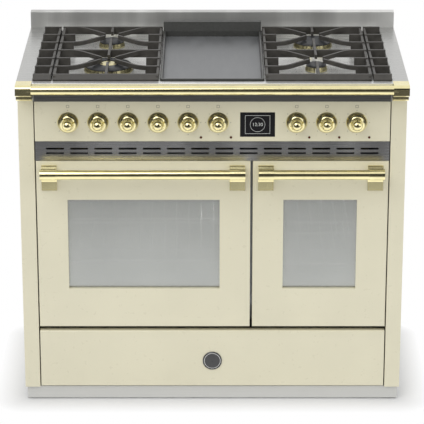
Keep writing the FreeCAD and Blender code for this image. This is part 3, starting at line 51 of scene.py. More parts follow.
KNOBS = ["knob_%d" % number for number in range(1, 10)]
GAS_KNOBS = KNOBS[:4]
SWITCH_KNOBS = KNOBS[4:]
TAP_PUSHERS = ["tap_pusher_%d" % number for number in range(1, 5)]
GAS_DOTS = (90, 180, 225)                        # degrees round a knob, 0 to its right
SWITCH_DOTS = (90, 0, 45, 135, 180, 225, 270)
IGNITER_STEPS = ((0.3, 0.011), (0.25, 0.001), (0.45, 0.0035))   # inset in radii, then rise
PILOT_STEPS = ((0.18, 0.0006), (0.22, 0.0004), (0.25, 0.00015))
BACK_SCREW_HEIGHTS = (0.3, 0.5, 0.7)             # between the rows at top and foot
LINER_SHEET = 0.0015
WALL_DIM = (0.47, 0.51, 0.80, 0.87)              # height where the dim wall starts, is full, and ends


def colour(name, description, value):
    return FloatVectorProperty(name=name, description=description, default=value, subtype="COLOR",
                               size=3, min=0.0, max=1.0)


def length(name, description, value):
    return FloatProperty(name=name, description=description, default=value, min=0.0,
                         subtype="DISTANCE", unit="LENGTH")


def share(name, description, value):
    return FloatProperty(name=name, description=description, default=value, min=0.0, max=1.0,
                         subtype="FACTOR")


class CookerFinishes(bpy.types.PropertyGroup):
    cream: colour("Cream", "Vitreous enamel of doors, drawer, sides and control panel",
                  (0.79, 0.75, 0.57))
    cream_roughness: share("Cream roughness", "Roughness of the cream enamel", 0.30)
    brass: colour("Brass", "Polished brass of knobs, handles and rail", (0.85, 0.77, 0.44))
    brass_roughness: share("Brass roughness", "Roughness of the polished brass", 0.14)
    steel: colour("Steel", "Brushed stainless steel of hob and upstand", (0.62, 0.62, 0.60))
    plinth: colour("Plinth", "Satin steel of the plinth", (0.61, 0.61, 0.585))
    strip: colour("Strip steel", "Brushed steel of the slotted strip", (0.50, 0.50, 0.505))
    steel_roughness: share("Steel roughness", "Roughness across the steel's grain", 0.30)
    iron: colour("Iron", "Enamelled cast iron of the grates", (0.050, 0.046, 0.040))
    griddle: colour("Griddle", "Coated plate of the griddle", (0.185, 0.190, 0.196))
    oven: colour("Oven enamel", "Enamel inside the ovens", (0.060, 0.062, 0.070))
    zinc: colour("Zinc", "Galvanised sheet of back, base and drawer box", (0.46, 0.48, 0.49))
    glass: colour("Door glass", "Grey mirror coating of the oven windows", (0.56, 0.575, 0.55))
    glass_clear: share("Glass clearness", "Share of the view through a door's outer pane", 0.34)
    inner_clear: share("Inner clearness", "Share of the view through a door's inner pane", 0.85)
    caps: colour("Cap enamel", "Matt enamel of the burner caps", (0.024, 0.025, 0.027))
    wire: colour("Plated wire", "Wire of racks and runners", (0.90, 0.89, 0.87))
    alloy: colour("Cast alloy", "Aluminium of the burner bases", (0.42, 0.42, 0.43))
    screw: colour("Screw steel", "Steel of the screws", (0.5, 0.5, 0.5))
    display: colour("Display glass", "Black glass of the clock", (0.012, 0.012, 0.014))
    segments: colour("Clock segments", "Ring, digits and frame on the display", (0.62, 0.64, 0.62))
    plastic: colour("Black plastic", "Switches, terminal box and feet", (0.030, 0.030, 0.032))
    seal: colour("Door seal", "Silicone of the door seals", (0.040, 0.040, 0.042))
    pilot: colour("Pilot lens", "Unlit lens of the pilot lamps", (0.10, 0.028, 0.012))
    ink: colour("Panel ink", "Marks printed on the control panel", (0.19, 0.175, 0.135))
    ceramic: colour("Ceramic", "Glazed body of the igniters", (0.80, 0.79, 0.76))
    lamp: colour("Lamp glass", "Glass of the oven lamps", (0.75, 0.72, 0.62))


class CookerTrim(bpy.types.PropertyGroup):
    facets: IntProperty(name="Facets", description="Sides of the round trim pieces", default=24,
                        min=8, max=64)
    screw_radius: length("Screw radius", "Radius of a screw's head", 0.0042)
    screw_height: length("Screw height", "Height of a screw's head", 0.0026)
    screw_sink: length("Screw sink", "How far a screw's head is let into the back panel", 0.0002)
    screw_side: length("Screw to side", "Screws to the sides of the back panel", 0.010)
    screw_end: length("Screw to end", "Screws to the top and foot of the back panel", 0.012)
    cover_inset: length("Cover screw inset", "Screws to the edges of the fan cover", 0.016)
    pilot_radius: length("Pilot lamp radius", "Radius of the lamps under the switch knobs", 0.0032)
    pilot_side: length("Pilot lamp to side", "Lamp to the right of its knob", 0.033)
    pilot_drop: length("Pilot lamp drop", "Lamp below its knob", 0.040)
    dot_radius: length("Dot radius", "Radius of a dot round a knob", 0.0010)
    dot_reach: length("Dot circle", "Radius of the circle of dots round a knob", 0.0325)
    mark_size: length("Mark size", "Width of the square marks above the knobs", 0.0075)
    mark_rise: length("Mark rise", "Square mark above its knob", 0.043)
    ink_height: length("Ink height", "Height of the marks on the panel", 0.0001)
    igniter_radius: length("Igniter radius", "Radius of an igniter's ceramic body", 0.0032)
    igniter_gap: length("Igniter gap", "Igniter's axis to the burner's crown", 0.0055)
    igniter_sink: length("Igniter sink", "Igniter's foot below the top of the burner's base", 0.002)
    ring_radius: length("Clock ring", "Radius of the ring on the display", 0.0190)
    ring_line: length("Clock ring line", "Radius of the ring's line", 0.0005)
    digit_size: length("Digit size", "Size of the clock's digits", 0.0125)
    digit_height: length("Digit height", "Height of the digits on the glass", 0.00012)
    frame_line: length("Clock frame line", "Width of the line round the clock", 0.0009)
    frame_height: length("Clock frame height", "Height of that line on the glass", 0.00015)
    lamp_radius: length("Oven lamp radius", "Radius of an oven lamp's glass", 0.027)
    lamp_depth: length("Oven lamp depth", "Depth of an oven lamp's glass", 0.004)
    lamp_dish: length("Oven lamp dish", "How far the middle of the glass lies back", 0.002)
    lamp_side: length("Oven lamp to side", "Lamp's middle to the right side of its oven", 0.055)
    lamp_drop: length("Oven lamp drop", "Lamp's middle below the roof of its oven", 0.075)
    lamp_power: FloatProperty(name="Oven lamp power", description="Light of an oven lamp",
                              default=0.8, min=0.0)


class CookerStudio(bpy.types.PropertyGroup):
    camera_distance: length("Camera distance", "Camera ahead of the origin", 6.0)
    camera_aside: FloatProperty(name="Camera aside", description="Camera to the right of the origin",
                                default=-0.0008, subtype="DISTANCE", unit="LENGTH")
    camera_height: length("Camera height", "Camera above the floor", 2.573)
    camera_pitch: FloatProperty(name="Camera pitch", description="Camera's tilt below level",
                                default=0.3397, subtype="ANGLE", unit="ROTATION")
    camera_lens: FloatProperty(name="Lens", description="Focal length for a 36 mm sensor",
                               default=199.3, min=10.0, unit="CAMERA")
    floor_size: length("Floor size", "Width of the studio floor", 60.0)
    shadow_reach: length("Shadow reach", "How far out the floor still shows the cooker's shadow", 0.09)
    mirror_start: length("Mirrored floor, bright", "Where ahead the floor starts to dim in metal", 1.0)
    mirror_end: length("Mirrored floor, dim", "Where ahead the floor has dimmed in metal", 2.5)
    key_power: FloatProperty(name="Key power", description="Large lamp above and ahead",
                             default=62.0, min=0.0)
    fill_power: FloatProperty(name="Fill power", description="Lamp at the other side",
                              default=20.0, min=0.0)
    world_level: FloatProperty(name="World level", description="Brightness of the room",
                               default=0.60, min=0.0)


# ---------------------------------------------------------------- shader helpers
def new_material(name, base, roughness, metallic=0.0):
    """Material with its tree and its Principled shader, constants set on the shader's own sockets."""
    material = bpy.data.materials.new(name)
    material.use_nodes = True
    tree = material.node_tree
    shader = tree.nodes["Principled BSDF"]
    shader.inputs["Base Color"].default_value = (*base, 1.0)
    shader.inputs["Roughness"].default_value = roughness
    shader.inputs["Metallic"].default_value = metallic
    return material, tree, shader


def object_place(tree, scale=(1.0, 1.0, 1.0)):
    """Object coordinates, stretched by scale."""
    place = tree.nodes.new("ShaderNodeTexCoord")
    mapping = tree.nodes.new("ShaderNodeMapping")
    mapping.inputs["Scale"].default_value = scale
    tree.links.new(place.outputs["Object"], mapping.inputs["Vector"])
    return mapping.outputs["Vector"]


def noise(tree, vector, scale, detail=3.0):
    texture = tree.nodes.new("ShaderNodeTexNoise")
    texture.inputs["Scale"].default_value = scale
    texture.inputs["Detail"].default_value = detail
    tree.links.new(vector, texture.inputs["Vector"])
    return texture.outputs["Fac"]


def spread(tree, value, low, high, start=0.3, end=0.7):
    """Value moved from start..end to low..high."""
    node = tree.nodes.new("ShaderNodeMapRange")
    node.inputs["From Min"].default_value = start
    node.inputs["From Max"].default_value = end
    node.inputs["To Min"].default_value = low
    node.inputs["To Max"].default_value = high
    tree.links.new(value, node.inputs["Value"])
    return node.outputs["Result"]


def blend_colours(tree, factor, first, second):
    """Colour that goes from first to second with the factor."""
    node = tree.nodes.new("ShaderNodeMix")
    node.data_type = "RGBA"
    for socket, value in ((node.inputs[6], first), (node.inputs[7], second)):
        if isinstance(value, bpy.types.NodeSocket):
            tree.links.new(value, socket)
        else:
            socket.default_value = (*value, 1.0)
    tree.links.new(factor, node.inputs[0])
    return node.outputs[2]


def shade(base, factor):
    """Colour made lighter or darker."""
    return tuple(min(1.0, part * factor) for part in base)


def add_bump(tree, shader, height, strength, distance):
    node = tree.nodes.new("ShaderNodeBump")
    node.inputs["Strength"].default_value = strength
    node.inputs["Distance"].default_value = distance
    tree.links.new(height, node.inputs["Height"])
    tree.links.new(node.outputs["Normal"], shader.inputs["Normal"])


def within(tree, vector, low, high):
    """1 where a place lies between two corners, 0 elsewhere."""
    parts = tree.nodes.new("ShaderNodeSeparateXYZ")
    tree.links.new(vector, parts.inputs[0])
    inside = None
    for axis in range(3):
        test = tree.nodes.new("ShaderNodeMath")
        test.operation = "COMPARE"
        test.inputs[1].default_value = (low[axis] + high[axis]) / 2
        test.inputs[2].default_value = (high[axis] - low[axis]) / 2
        tree.links.new(parts.outputs[axis], test.inputs[0])
        if inside is None:
            inside = test.outputs[0]
            continue
        both = tree.nodes.new("ShaderNodeMath")
        both.operation = "MULTIPLY"
        tree.links.new(inside, both.inputs[0])
        tree.links.new(test.outputs[0], both.inputs[1])
        inside = both.outputs[0]
    return inside


def coat(material, *names):
    """Puts one material on CAD nodes or pieces."""
    for name in names:
        data = (NODES.get(name) or bpy.data.objects[name]).data
        data.materials.clear()
        data.materials.append(material)


# ---------------------------------------------------------------- finishes
def enamel(name, base, roughness, ripple=0.05):
    """Vitreous enamel: faint cloudiness, fine ripple and a clear top coat."""
    material, tree, shader = new_material(name, base, roughness)
    place = object_place(tree)
    cloud = noise(tree, place, 7.0)
    tint = blend_colours(tree, spread(tree, cloud, 0.0, 1.0), shade(base, 0.975), shade(base, 1.02))
    tree.links.new(tint, shader.inputs["Base Color"])
    fine = noise(tree, place, 90.0)
    tree.links.new(spread(tree, fine, roughness - 0.03, roughness + 0.03), shader.inputs["Roughness"])
    shader.inputs["Coat Weight"].default_value = 0.35
    shader.inputs["Coat Roughness"].default_value = 0.08
    add_bump(tree, shader, noise(tree, place, 260.0, 2.0), ripple, 0.0004)
    return material


def polished_brass(name, base, roughness):
    """Brass with polishing lines too fine to see apart and slight clouding."""
    material, tree, shader = new_material(name, base, roughness, 1.0)
    place = object_place(tree)
    cloud = noise(tree, place, 30.0)
    tint = blend_colours(tree, spread(tree, cloud, 0.0, 1.0), shade(base, 0.93), shade(base, 1.04))
    tree.links.new(tint, shader.inputs["Base Color"])
    lines = noise(tree, object_place(tree, (60.0, 900.0, 900.0)), 1.0, 2.0)
    tree.links.new(spread(tree, lines, roughness - 0.04, roughness + 0.06), shader.inputs["Roughness"])
    add_bump(tree, shader, lines, 0.04, 0.0001)
    return material


def brushed_steel(name, base, roughness, grain=(6.0, 900.0, 900.0), bands=0.04):
    """Stainless steel with a fine grain drawn out along one direction and soft bands across it."""
    material, tree, shader = new_material(name, base, roughness, 1.0)
    lines = noise(tree, object_place(tree, grain), 1.0, 4.0)
    sweep = noise(tree, object_place(tree, (9.0, 1.5, 1.5)), 1.0, 2.0)
    wide = spread(tree, sweep, 1.0 - bands, 1.0 + bands)
    fine = spread(tree, lines, 0.96, 1.03)
    both = tree.nodes.new("ShaderNodeMath")
    both.operation = "MULTIPLY"
    tree.links.new(wide, both.inputs[0])
    tree.links.new(fine, both.inputs[1])
    level = spread(tree, both.outputs[0], 0.0, 1.0, 0.8, 1.2)
    tint = blend_colours(tree, level, shade(base, 0.8), shade(base, 1.2))
    tree.links.new(tint, shader.inputs["Base Color"])
    tree.links.new(spread(tree, lines, roughness - 0.05, roughness + 0.05), shader.inputs["Roughness"])
    shader.inputs["Anisotropic"].default_value = 0.5
    add_bump(tree, shader, lines, 0.05, 0.0001)
    return material


def hob_steel(name, base, roughness, dim):
    """Brushed steel of the hob, brighter between the posts than at the sides as a painted reflection in
    the burner wells, and darkened on the steel strip under the front rail as a painted shadow of the
    rail.
    """
    material = brushed_steel(name, base, roughness)
    tree = material.node_tree
    shader = tree.nodes["Principled BSDF"]
    shader.inputs["Metallic"].default_value = 0.70
    tint = shader.inputs["Base Color"].links[0].from_socket
    low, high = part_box("control_panel")
    place = object_place(tree)
    # Painted reflection: the deck between the posts keeps the full steel colour while the side strips
    # are dimmed, so that the burner wells read bright.
    between = within(tree, place, (low[0], -1.0, 0.0), (high[0], 1.0, 2.0))
    darker = tree.nodes.new("ShaderNodeHueSaturation")
    darker.inputs["Value"].default_value = dim
    tree.links.new(tint, darker.inputs["Color"])
    # Painted shade: the steel strip under the front rail is set to 0.22 of the steel's colour, standing
    # in for the rail's shadow.
    apron_painted_shade = within(tree, place, (low[0], -1.0, 0.0), (high[0], low[1] + 0.001, high[2] + 0.05))
    final = blend_colours(tree, between, darker.outputs["Color"], tint)
    final = blend_colours(tree, apron_painted_shade, final, shade(base, 0.22))
    tree.links.new(final, shader.inputs["Base Color"])
    return material


def satin_steel(name, base):
    """Pale, almost mirrorless steel sheet with a fine grain along its length."""
    material, tree, shader = new_material(name, base, 0.5, 0.25)
    lines = noise(tree, object_place(tree, (5.0, 700.0, 700.0)), 1.0, 3.0)
    tint = blend_colours(tree, spread(tree, lines, 0.0, 1.0), shade(base, 0.96), shade(base, 1.03))
    tree.links.new(tint, shader.inputs["Base Color"])
    tree.links.new(spread(tree, lines, 0.44, 0.56), shader.inputs["Roughness"])
    add_bump(tree, shader, lines, 0.05, 0.0001)
    return material


def cast_iron(name, base):
    """Matt enamelled iron with the pitted skin of a casting."""
    material, tree, shader = new_material(name, base, 0.5)
    place = object_place(tree)
    mottle = noise(tree, place, 45.0)
    tint = blend_colours(tree, spread(tree, mottle, 0.0, 1.0), shade(base, 0.8), shade(base, 1.3))
    tree.links.new(tint, shader.inputs["Base Color"])
    tree.links.new(spread(tree, mottle, 0.40, 0.56), shader.inputs["Roughness"])
    add_bump(tree, shader, noise(tree, place, 700.0, 3.0), 0.30, 0.0005)
    return material


def galvanised(name, base):
    """Zinc-coated sheet with its spangle."""
    material, tree, shader = new_material(name, base, 0.42, 0.9)
    place = object_place(tree)
    cells = tree.nodes.new("ShaderNodeTexVoronoi")
    cells.inputs["Scale"].default_value = 70.0
    tree.links.new(place, cells.inputs["Vector"])
    grey = tree.nodes.new("ShaderNodeRGBToBW")
    tree.links.new(cells.outputs["Color"], grey.inputs[0])
    spangle = grey.outputs[0]
    tint = blend_colours(tree, spangle, shade(base, 0.85), shade(base, 1.12))
    tree.links.new(tint, shader.inputs["Base Color"])
    tree.links.new(spread(tree, spangle, 0.34, 0.50, 0.0, 1.0), shader.inputs["Roughness"])
    add_bump(tree, shader, spangle, 0.05, 0.0002)
    return material


def speckled_enamel(name, base):
    """Dark oven enamel with pale flecks."""
    material, tree, shader = new_material(name, base, 0.25)
    flecks = noise(tree, object_place(tree), 520.0, 1.0)
    tint = blend_colours(tree, spread(tree, flecks, 0.0, 1.0, 0.66, 0.72), base, (0.55, 0.56, 0.58))
    tree.links.new(tint, shader.inputs["Base Color"])
    tree.links.new(spread(tree, flecks, 0.20, 0.34), shader.inputs["Roughness"])
    add_bump(tree, shader, flecks, 0.05, 0.0003)
    return material


def griddle_finish(name, plate, plate_rise, wall):
    """Dark coated frame round a blue-grey plate with faint round wipe marks."""
    material, tree, shader = new_material(name, plate, 0.38, 0.25)
    place = object_place(tree)
    swirl = noise(tree, object_place(tree, (14.0, 3.0, 14.0)), 3.0, 4.0)
    surface = blend_colours(tree, spread(tree, swirl, 0.0, 1.0), shade(plate, 0.92), shade(plate, 1.07))
    rim = blend_colours(tree, noise(tree, place, 200.0), (0.050, 0.051, 0.048), (0.085, 0.086, 0.080))
    low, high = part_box("griddle")
    on_plate = within(tree, place, (low[0] + wall, low[1] + wall, low[2]),
                      (high[0] - wall, high[1] - wall, low[2] + plate_rise))
    tint = blend_colours(tree, on_plate, rim, surface)
    tree.links.new(tint, shader.inputs["Base Color"])
    tree.links.new(spread(tree, swirl, 0.32, 0.44), shader.inputs["Roughness"])
    add_bump(tree, shader, noise(tree, place, 900.0, 2.0), 0.08, 0.0003)
    return material


def mirror_glass(name, base, clear, inner_clear):
    """Oven window: a grey half-mirror and a clearer pane behind it, so that the racks show."""
    material, tree, shader = new_material(name, base, 0.10, 0.55)
    haze = noise(tree, object_place(tree), 4.0)
    tint = blend_colours(tree, spread(tree, haze, 0.0, 1.0), shade(base, 0.94), shade(base, 1.06))
    tree.links.new(tint, shader.inputs["Base Color"])
    low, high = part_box("door_left_glass")
    depth = (low[1] + high[1]) / 2
    outer = within(tree, object_place(tree), (-1.0, -1.0, 0.0), (1.0, depth, 2.0))
    tree.links.new(spread(tree, outer, 1.0 - inner_clear, 1.0 - clear, 0.0, 1.0), shader.inputs["Alpha"])
    shader.inputs["Coat Weight"].default_value = 0.6
    shader.inputs["Coat Roughness"].default_value = 0.02
    return material


def moulded_plastic(name, base, roughness):
    """Plastic with a fine moulded grain."""
    material, tree, shader = new_material(name, base, roughness)
    place = object_place(tree)
    grain = noise(tree, place, 1400.0, 2.0)
    tint = blend_colours(tree, grain, shade(base, 0.85), shade(base, 1.2))
    tree.links.new(tint, shader.inputs["Base Color"])
    tree.links.new(spread(tree, grain, roughness - 0.06, roughness + 0.06), shader.inputs["Roughness"])
    add_bump(tree, shader, grain, 0.12, 0.0003)
    return material


def mineral_wool(name):
    """Yellow wool with its fibres drawn out."""
    material, tree, shader = new_material(name, (0.62, 0.55, 0.33), 0.95)
    fibres = noise(tree, object_place(tree, (20.0, 60.0, 260.0)), 4.0, 6.0)
    tint = blend_colours(tree, spread(tree, fibres, 0.0, 1.0), (0.42, 0.35, 0.18), (0.72, 0.66, 0.44))
    tree.links.new(tint, shader.inputs["Base Color"])
    add_bump(tree, shader, fibres, 0.8, 0.002)
    return material


def heated_steel(name):
    """Tubular element: dark oxide with brown and blue heat tints."""
    material, tree, shader = new_material(name, (0.10, 0.09, 0.085), 0.5, 0.6)
    heat = noise(tree, object_place(tree), 16.0)
    tint = blend_colours(tree, spread(tree, heat, 0.0, 1.0), (0.13, 0.10, 0.08), (0.08, 0.085, 0.10))
    tree.links.new(tint, shader.inputs["Base Color"])
    add_bump(tree, shader, noise(tree, object_place(tree), 600.0), 0.15, 0.0003)
    return material


def badge_finish(name, line):
    """Black enamel with one fine bright ring, told apart by the distance from the badge's middle."""
    material, tree, shader = new_material(name, (0.006, 0.006, 0.007), 0.22)
    low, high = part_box("drawer_badge")
    middle = (Vector(low) + Vector(high)) / 2
    place = tree.nodes.new("ShaderNodeTexCoord")
    offset = tree.nodes.new("ShaderNodeMapping")
    offset.inputs["Location"].default_value = (-middle.x, 0.0, -middle.z)
    offset.inputs["Scale"].default_value = (1.0, 0.0, 1.0)
    tree.links.new(place.outputs["Object"], offset.inputs["Vector"])
    reach = tree.nodes.new("ShaderNodeVectorMath")
    reach.operation = "LENGTH"
    tree.links.new(offset.outputs["Vector"], reach.inputs[0])
    edge = tree.nodes.new("ShaderNodeMath")
    edge.operation = "COMPARE"
    edge.inputs[1].default_value = 0.0212
    edge.inputs[2].default_value = 0.0005
    tree.links.new(reach.outputs["Value"], edge.inputs[0])
    fine = noise(tree, object_place(tree), 500.0)
    face = blend_colours(tree, fine, (0.004, 0.004, 0.005), (0.010, 0.010, 0.011))
    tint = blend_colours(tree, edge.outputs[0], face, line)
    tree.links.new(tint, shader.inputs["Base Color"])
    tree.links.new(edge.outputs[0], shader.inputs["Metallic"])
    shader.inputs["Coat Weight"].default_value = 0.7
    return material


# ---------------------------------------------------------------- modelling helpers
def clear_selection():
    """Nothing selected, as each new piece needs."""
    bpy.ops.object.select_all(action="DESELECT")


def edit_faces(piece, wanted):
    """Edit mode with only the wanted faces of the piece selected."""
    bpy.context.view_layer.objects.active = piece
    bpy.ops.object.mode_set(mode="EDIT")
    bpy.ops.mesh.select_mode(type="FACE")
    mesh = bmesh.from_edit_mesh(piece.data)
    for face in mesh.faces:
        face.select_set(bool(wanted(face)))
    bmesh.update_edit_mesh(piece.data)


def leave_edit():
    bpy.ops.object.mode_set(mode="OBJECT")


def start_disc(name, radius, height, sides):
    """Upright cylinder on the origin, built along +Z before it is placed."""
    clear_selection()
    bpy.ops.mesh.primitive_cylinder_add(vertices=sides, radius=radius, depth=height,
                                        location=(0.0, 0.0, height / 2))
    piece = bpy.context.active_object
    piece.name = name
    bpy.ops.object.transform_apply(location=True, rotation=True, scale=True)
    return piece


def raise_top(piece, inset, lift):
    """Insets the highest face and moves the new face up, or down for a hollow."""
    highest = max(vertex.co.z for vertex in piece.data.vertices)
    edit_faces(piece, lambda face: face.normal.z > 0.9 and face.calc_center_median().z > highest - 1e-6)
    if inset:
        bpy.ops.mesh.inset(thickness=inset)
    bpy.ops.mesh.extrude_region_move(TRANSFORM_OT_translate={"value": (0.0, 0.0, lift)})
    leave_edit()


def outline_of(sheet, line, height):
    """Turns a flat rectangle into the raised line round its edge."""
    edit_faces(sheet, lambda face: True)
    bpy.ops.mesh.inset(thickness=line)
    bpy.ops.mesh.delete(type="FACE")
    bpy.ops.mesh.select_all(action="SELECT")
    bpy.ops.mesh.extrude_region_move(TRANSFORM_OT_translate={"value": (0.0, 0.0, height)})
    bpy.ops.mesh.select_all(action="SELECT")
    bpy.ops.mesh.normals_make_consistent(inside=False)
    leave_edit()


def smooth(piece, angle=35.0):
    """Smooth shading but for edges sharper than an angle in degrees."""
    clear_selection()
    piece.select_set(True)
    bpy.context.view_layer.objects.active = piece
    bpy.ops.object.shade_smooth_by_angle(angle=math.radians(angle))


def bevel(piece, width, segments=2):
    """Rounds a piece's sharp edges."""
    modifier = piece.modifiers.new("Edge", "BEVEL")
    modifier.width = width
    modifier.segments = segments
    modifier.limit_method = "ANGLE"
    bpy.context.view_layer.objects.active = piece
    bpy.ops.object.modifier_apply(modifier=modifier.name)


def place_copies(piece, placings, name):
    """Copies of one piece at each placing, joined under a name with their places in the mesh."""
    copies = []
    for placing in placings:
        copy = piece.copy()
        copy.data = piece.data.copy()
        copy.data.transform(placing)
        bpy.context.collection.objects.link(copy)
        copies.append(copy)
    bpy.data.objects.remove(piece)
    clear_selection()
    for copy in copies:
        copy.select_set(True)
    bpy.context.view_layer.objects.active = copies[0]
    if len(copies) > 1:
        bpy.ops.object.join()
    copies[0].name = name
    return copies[0]


def facing(place, direction):
    """Placing that turns +Z to a direction and moves the origin to a place."""
    turn = Vector(direction).to_track_quat("Z", "Y").to_matrix().to_4x4()
    return Matrix.Translation(Vector(place)) @ turn


def hollow_hex(piece, radius, depth):
    """Cuts a six-sided socket in the top of a piece."""
    highest = max(vertex.co.z for vertex in piece.data.vertices)
    clear_selection()
    bpy.ops.mesh.primitive_cylinder_add(vertices=6, radius=radius, depth=depth * 2,
                                        location=(0.0, 0.0, highest))
    cutter = bpy.context.active_object
    modifier = piece.modifiers.new("Socket", "BOOLEAN")
    modifier.object = cutter
    bpy.context.view_layer.objects.active = piece
    bpy.ops.object.modifier_apply(modifier=modifier.name)
    bpy.data.objects.remove(cutter)


def middle_of(node):
    """Middle of a node's box at rest."""
    low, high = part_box(node)
    return (Vector(low) + Vector(high)) / 2


# ---------------------------------------------------------------- operators
class COOKER_OT_enamel(bpy.types.Operator):
    """Cream enamel on doors, drawer, sides and control panel, dark enamel in ovens and on caps"""
    bl_idname = "cooker.enamel"
    bl_label = "Enamel"

    def execute(self, context):
        finish = context.scene.cooker_finishes
        cream = enamel("cream_enamel", finish.cream, finish.cream_roughness)
        coat(cream, "side_panels", "control_panel", "drawer_front", "door_left_panel",
             "door_right_panel")
        dark = speckled_enamel("oven_enamel", finish.oven)
        coat(dark, "oven_liner_left", "oven_liner_right", "fan_cover", "door_left_inner_frame",
             "door_right_inner_frame")
        coat(cast_iron("cap_enamel", finish.caps), "burner_caps")
        coat(badge_finish("badge_enamel", finish.steel), "drawer_badge")
        return {"FINISHED"}


class COOKER_OT_brass(bpy.types.Operator):
    """Polished brass on knobs, rings, handles, front rail, burner crowns and gas fittings"""
    bl_idname = "cooker.brass"
    bl_label = "Brass"

    def execute(self, context):
        finish = context.scene.cooker_finishes
        brass = polished_brass("polished_brass", finish.brass, finish.brass_roughness)
        coat(brass, "knob_bezels", "door_left_handle", "door_right_handle", "front_rail", *KNOBS)
        raw = polished_brass("turned_brass", shade(finish.brass, 0.8), 0.28)
        coat(raw, "burner_crowns", "gas_manifold", *TAP_PUSHERS)
        return {"FINISHED"}


class COOKER_OT_metalwork(bpy.types.Operator):
    """Stainless steel, zinc-coated sheet, plated wire and cast alloy"""
    bl_idname = "cooker.metalwork"
    bl_label = "Metalwork"

    def execute(self, context):
        finish = context.scene.cooker_finishes
        coat(brushed_steel("brushed_steel", finish.steel, finish.steel_roughness), "fan_wheel")
        # The hob's steel is 1.35 times the upstand's colour and 0.60 of that at its side strips; the
        # bright middle is a painted reflection in the burner wells.
        coat(hob_steel("hob_steel", shade(finish.steel, 1.35), finish.steel_roughness, 0.60), "hob_deck")
        coat(satin_steel("plinth_steel", finish.plinth), "plinth")
        coat(brushed_steel("strip_steel", finish.strip, 0.26, bands=0.35), "vent_strip")
        upright = (900.0, 900.0, 6.0)
        upstand = brushed_steel("upstand_steel", finish.steel, 0.34, upright, 0.35)
        upstand.node_tree.nodes["Principled BSDF"].inputs["Metallic"].default_value = 0.55
        coat(upstand, "backguard")
        zinc = galvanised("galvanised_sheet", finish.zinc)
        coat(zinc, "back_panel", "base_pan", "oven_chassis", "drawer_box", "drawer_rails", "door_hinges",
             "fan_motor")
        wire = brushed_steel("plated_wire", finish.wire, 0.18, (300.0, 300.0, 300.0))
        wire.node_tree.nodes["Principled BSDF"].inputs["Metallic"].default_value = 0.3
        coat(wire, "oven_racks", "rack_runners")
        coat(brushed_steel("cast_alloy", finish.alloy, 0.45, (260.0, 260.0, 260.0)), "burner_bases")
        coat(heated_steel("heated_steel"), "heating_elements")
        return {"FINISHED"}


class COOKER_OT_ironwork(bpy.types.Operator):
    """Cast-iron grates and the griddle's coated plate"""
    bl_idname = "cooker.ironwork"
    bl_label = "Ironwork"

    def execute(self, context):
        finish = context.scene.cooker_finishes
        coat(cast_iron("cast_iron", finish.iron), "grate_left", "grate_right", "side_grate_left",
             "side_grate_right")
        coat(griddle_finish("griddle_coating", finish.griddle, plate_rise=0.0195, wall=0.003), "griddle")
        return {"FINISHED"}


class COOKER_OT_glazing(bpy.types.Operator):
    """Door glass, display glass, seals, insulation and plastics"""
    bl_idname = "cooker.glazing"
    bl_label = "Glazing and plastics"

    def execute(self, context):
        finish = context.scene.cooker_finishes
        panes = mirror_glass("mirror_glass", finish.glass, finish.glass_clear, finish.inner_clear)
        coat(panes, "door_left_glass", "door_right_glass")
        coat(enamel("display_glass", finish.display, 0.12, 0.0), "display")
        coat(moulded_plastic("switch_plastic", finish.plastic, 0.45), "control_switches", "supply_box",
             "levelling_feet")
        coat(moulded_plastic("door_seal", finish.seal, 0.7), "door_gaskets")
        coat(mineral_wool("mineral_wool"), "oven_insulation")
        return {"FINISHED"}


class COOKER_OT_pilot_lamps(bpy.types.Operator):
    """Domed pilot lamps in collars beside the switch knobs"""
    bl_idname = "cooker.pilot_lamps"
    bl_label = "Pilot lamps"

    def execute(self, context):
        trim = context.scene.cooker_trim
        lamp = start_disc("pilot", trim.pilot_radius, 0.0006, trim.facets)
        for inset, lift in PILOT_STEPS:
            raise_top(lamp, trim.pilot_radius * inset, lift)
        smooth(lamp, 60.0)
        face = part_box("control_panel")[0][1]
        places = []
        for knob in SWITCH_KNOBS:
            centre = middle_of(knob)
            places.append(facing((centre.x + trim.pilot_side, face, centre.z - trim.pilot_drop),
                                 (0, -1, 0)))
        lamps = place_copies(lamp, places, "pilot_lamps")
        coat(moulded_plastic("pilot_lens", context.scene.cooker_finishes.pilot, 0.2), "pilot_lamps")
        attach(lamps, "cabinet")
        return {"FINISHED"}


class COOKER_OT_panel_marks(bpy.types.Operator):
    """Raised-ink dots and square marks round the knobs"""
    bl_idname = "cooker.panel_marks"
    bl_label = "Panel marks"

    def execute(self, context):
        trim = context.scene.cooker_trim
        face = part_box("control_panel")[0][1]
        dots = []
        squares = []
        for knob in KNOBS:
            centre = middle_of(knob)
            for angle in GAS_DOTS if knob in GAS_KNOBS else SWITCH_DOTS:
                turn = math.radians(angle)
                dots.append(facing((centre.x + trim.dot_reach * math.cos(turn), face,
                                    centre.z + trim.dot_reach * math.sin(turn)), (0, -1, 0)))
            squares.append(facing((centre.x, face, centre.z + trim.mark_rise), (0, -1, 0)))
        dot = start_disc("dot", trim.dot_radius, trim.ink_height, trim.facets // 2)
        marks = [place_copies(dot, dots, "panel_dots")]
        clear_selection()
        bpy.ops.mesh.primitive_plane_add(size=trim.mark_size, location=(0.0, 0.0, trim.ink_height))
        square = bpy.context.active_object
        bpy.ops.object.transform_apply(location=True, rotation=True, scale=True)
        outline_of(square, trim.mark_size * 0.11, -trim.ink_height)
        marks.append(place_copies(square, squares, "panel_squares"))
        ink = moulded_plastic("panel_ink", context.scene.cooker_finishes.ink, 0.6)
        for mark in marks:
            coat(ink, mark.name)
            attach(mark, "cabinet")
        return {"FINISHED"}


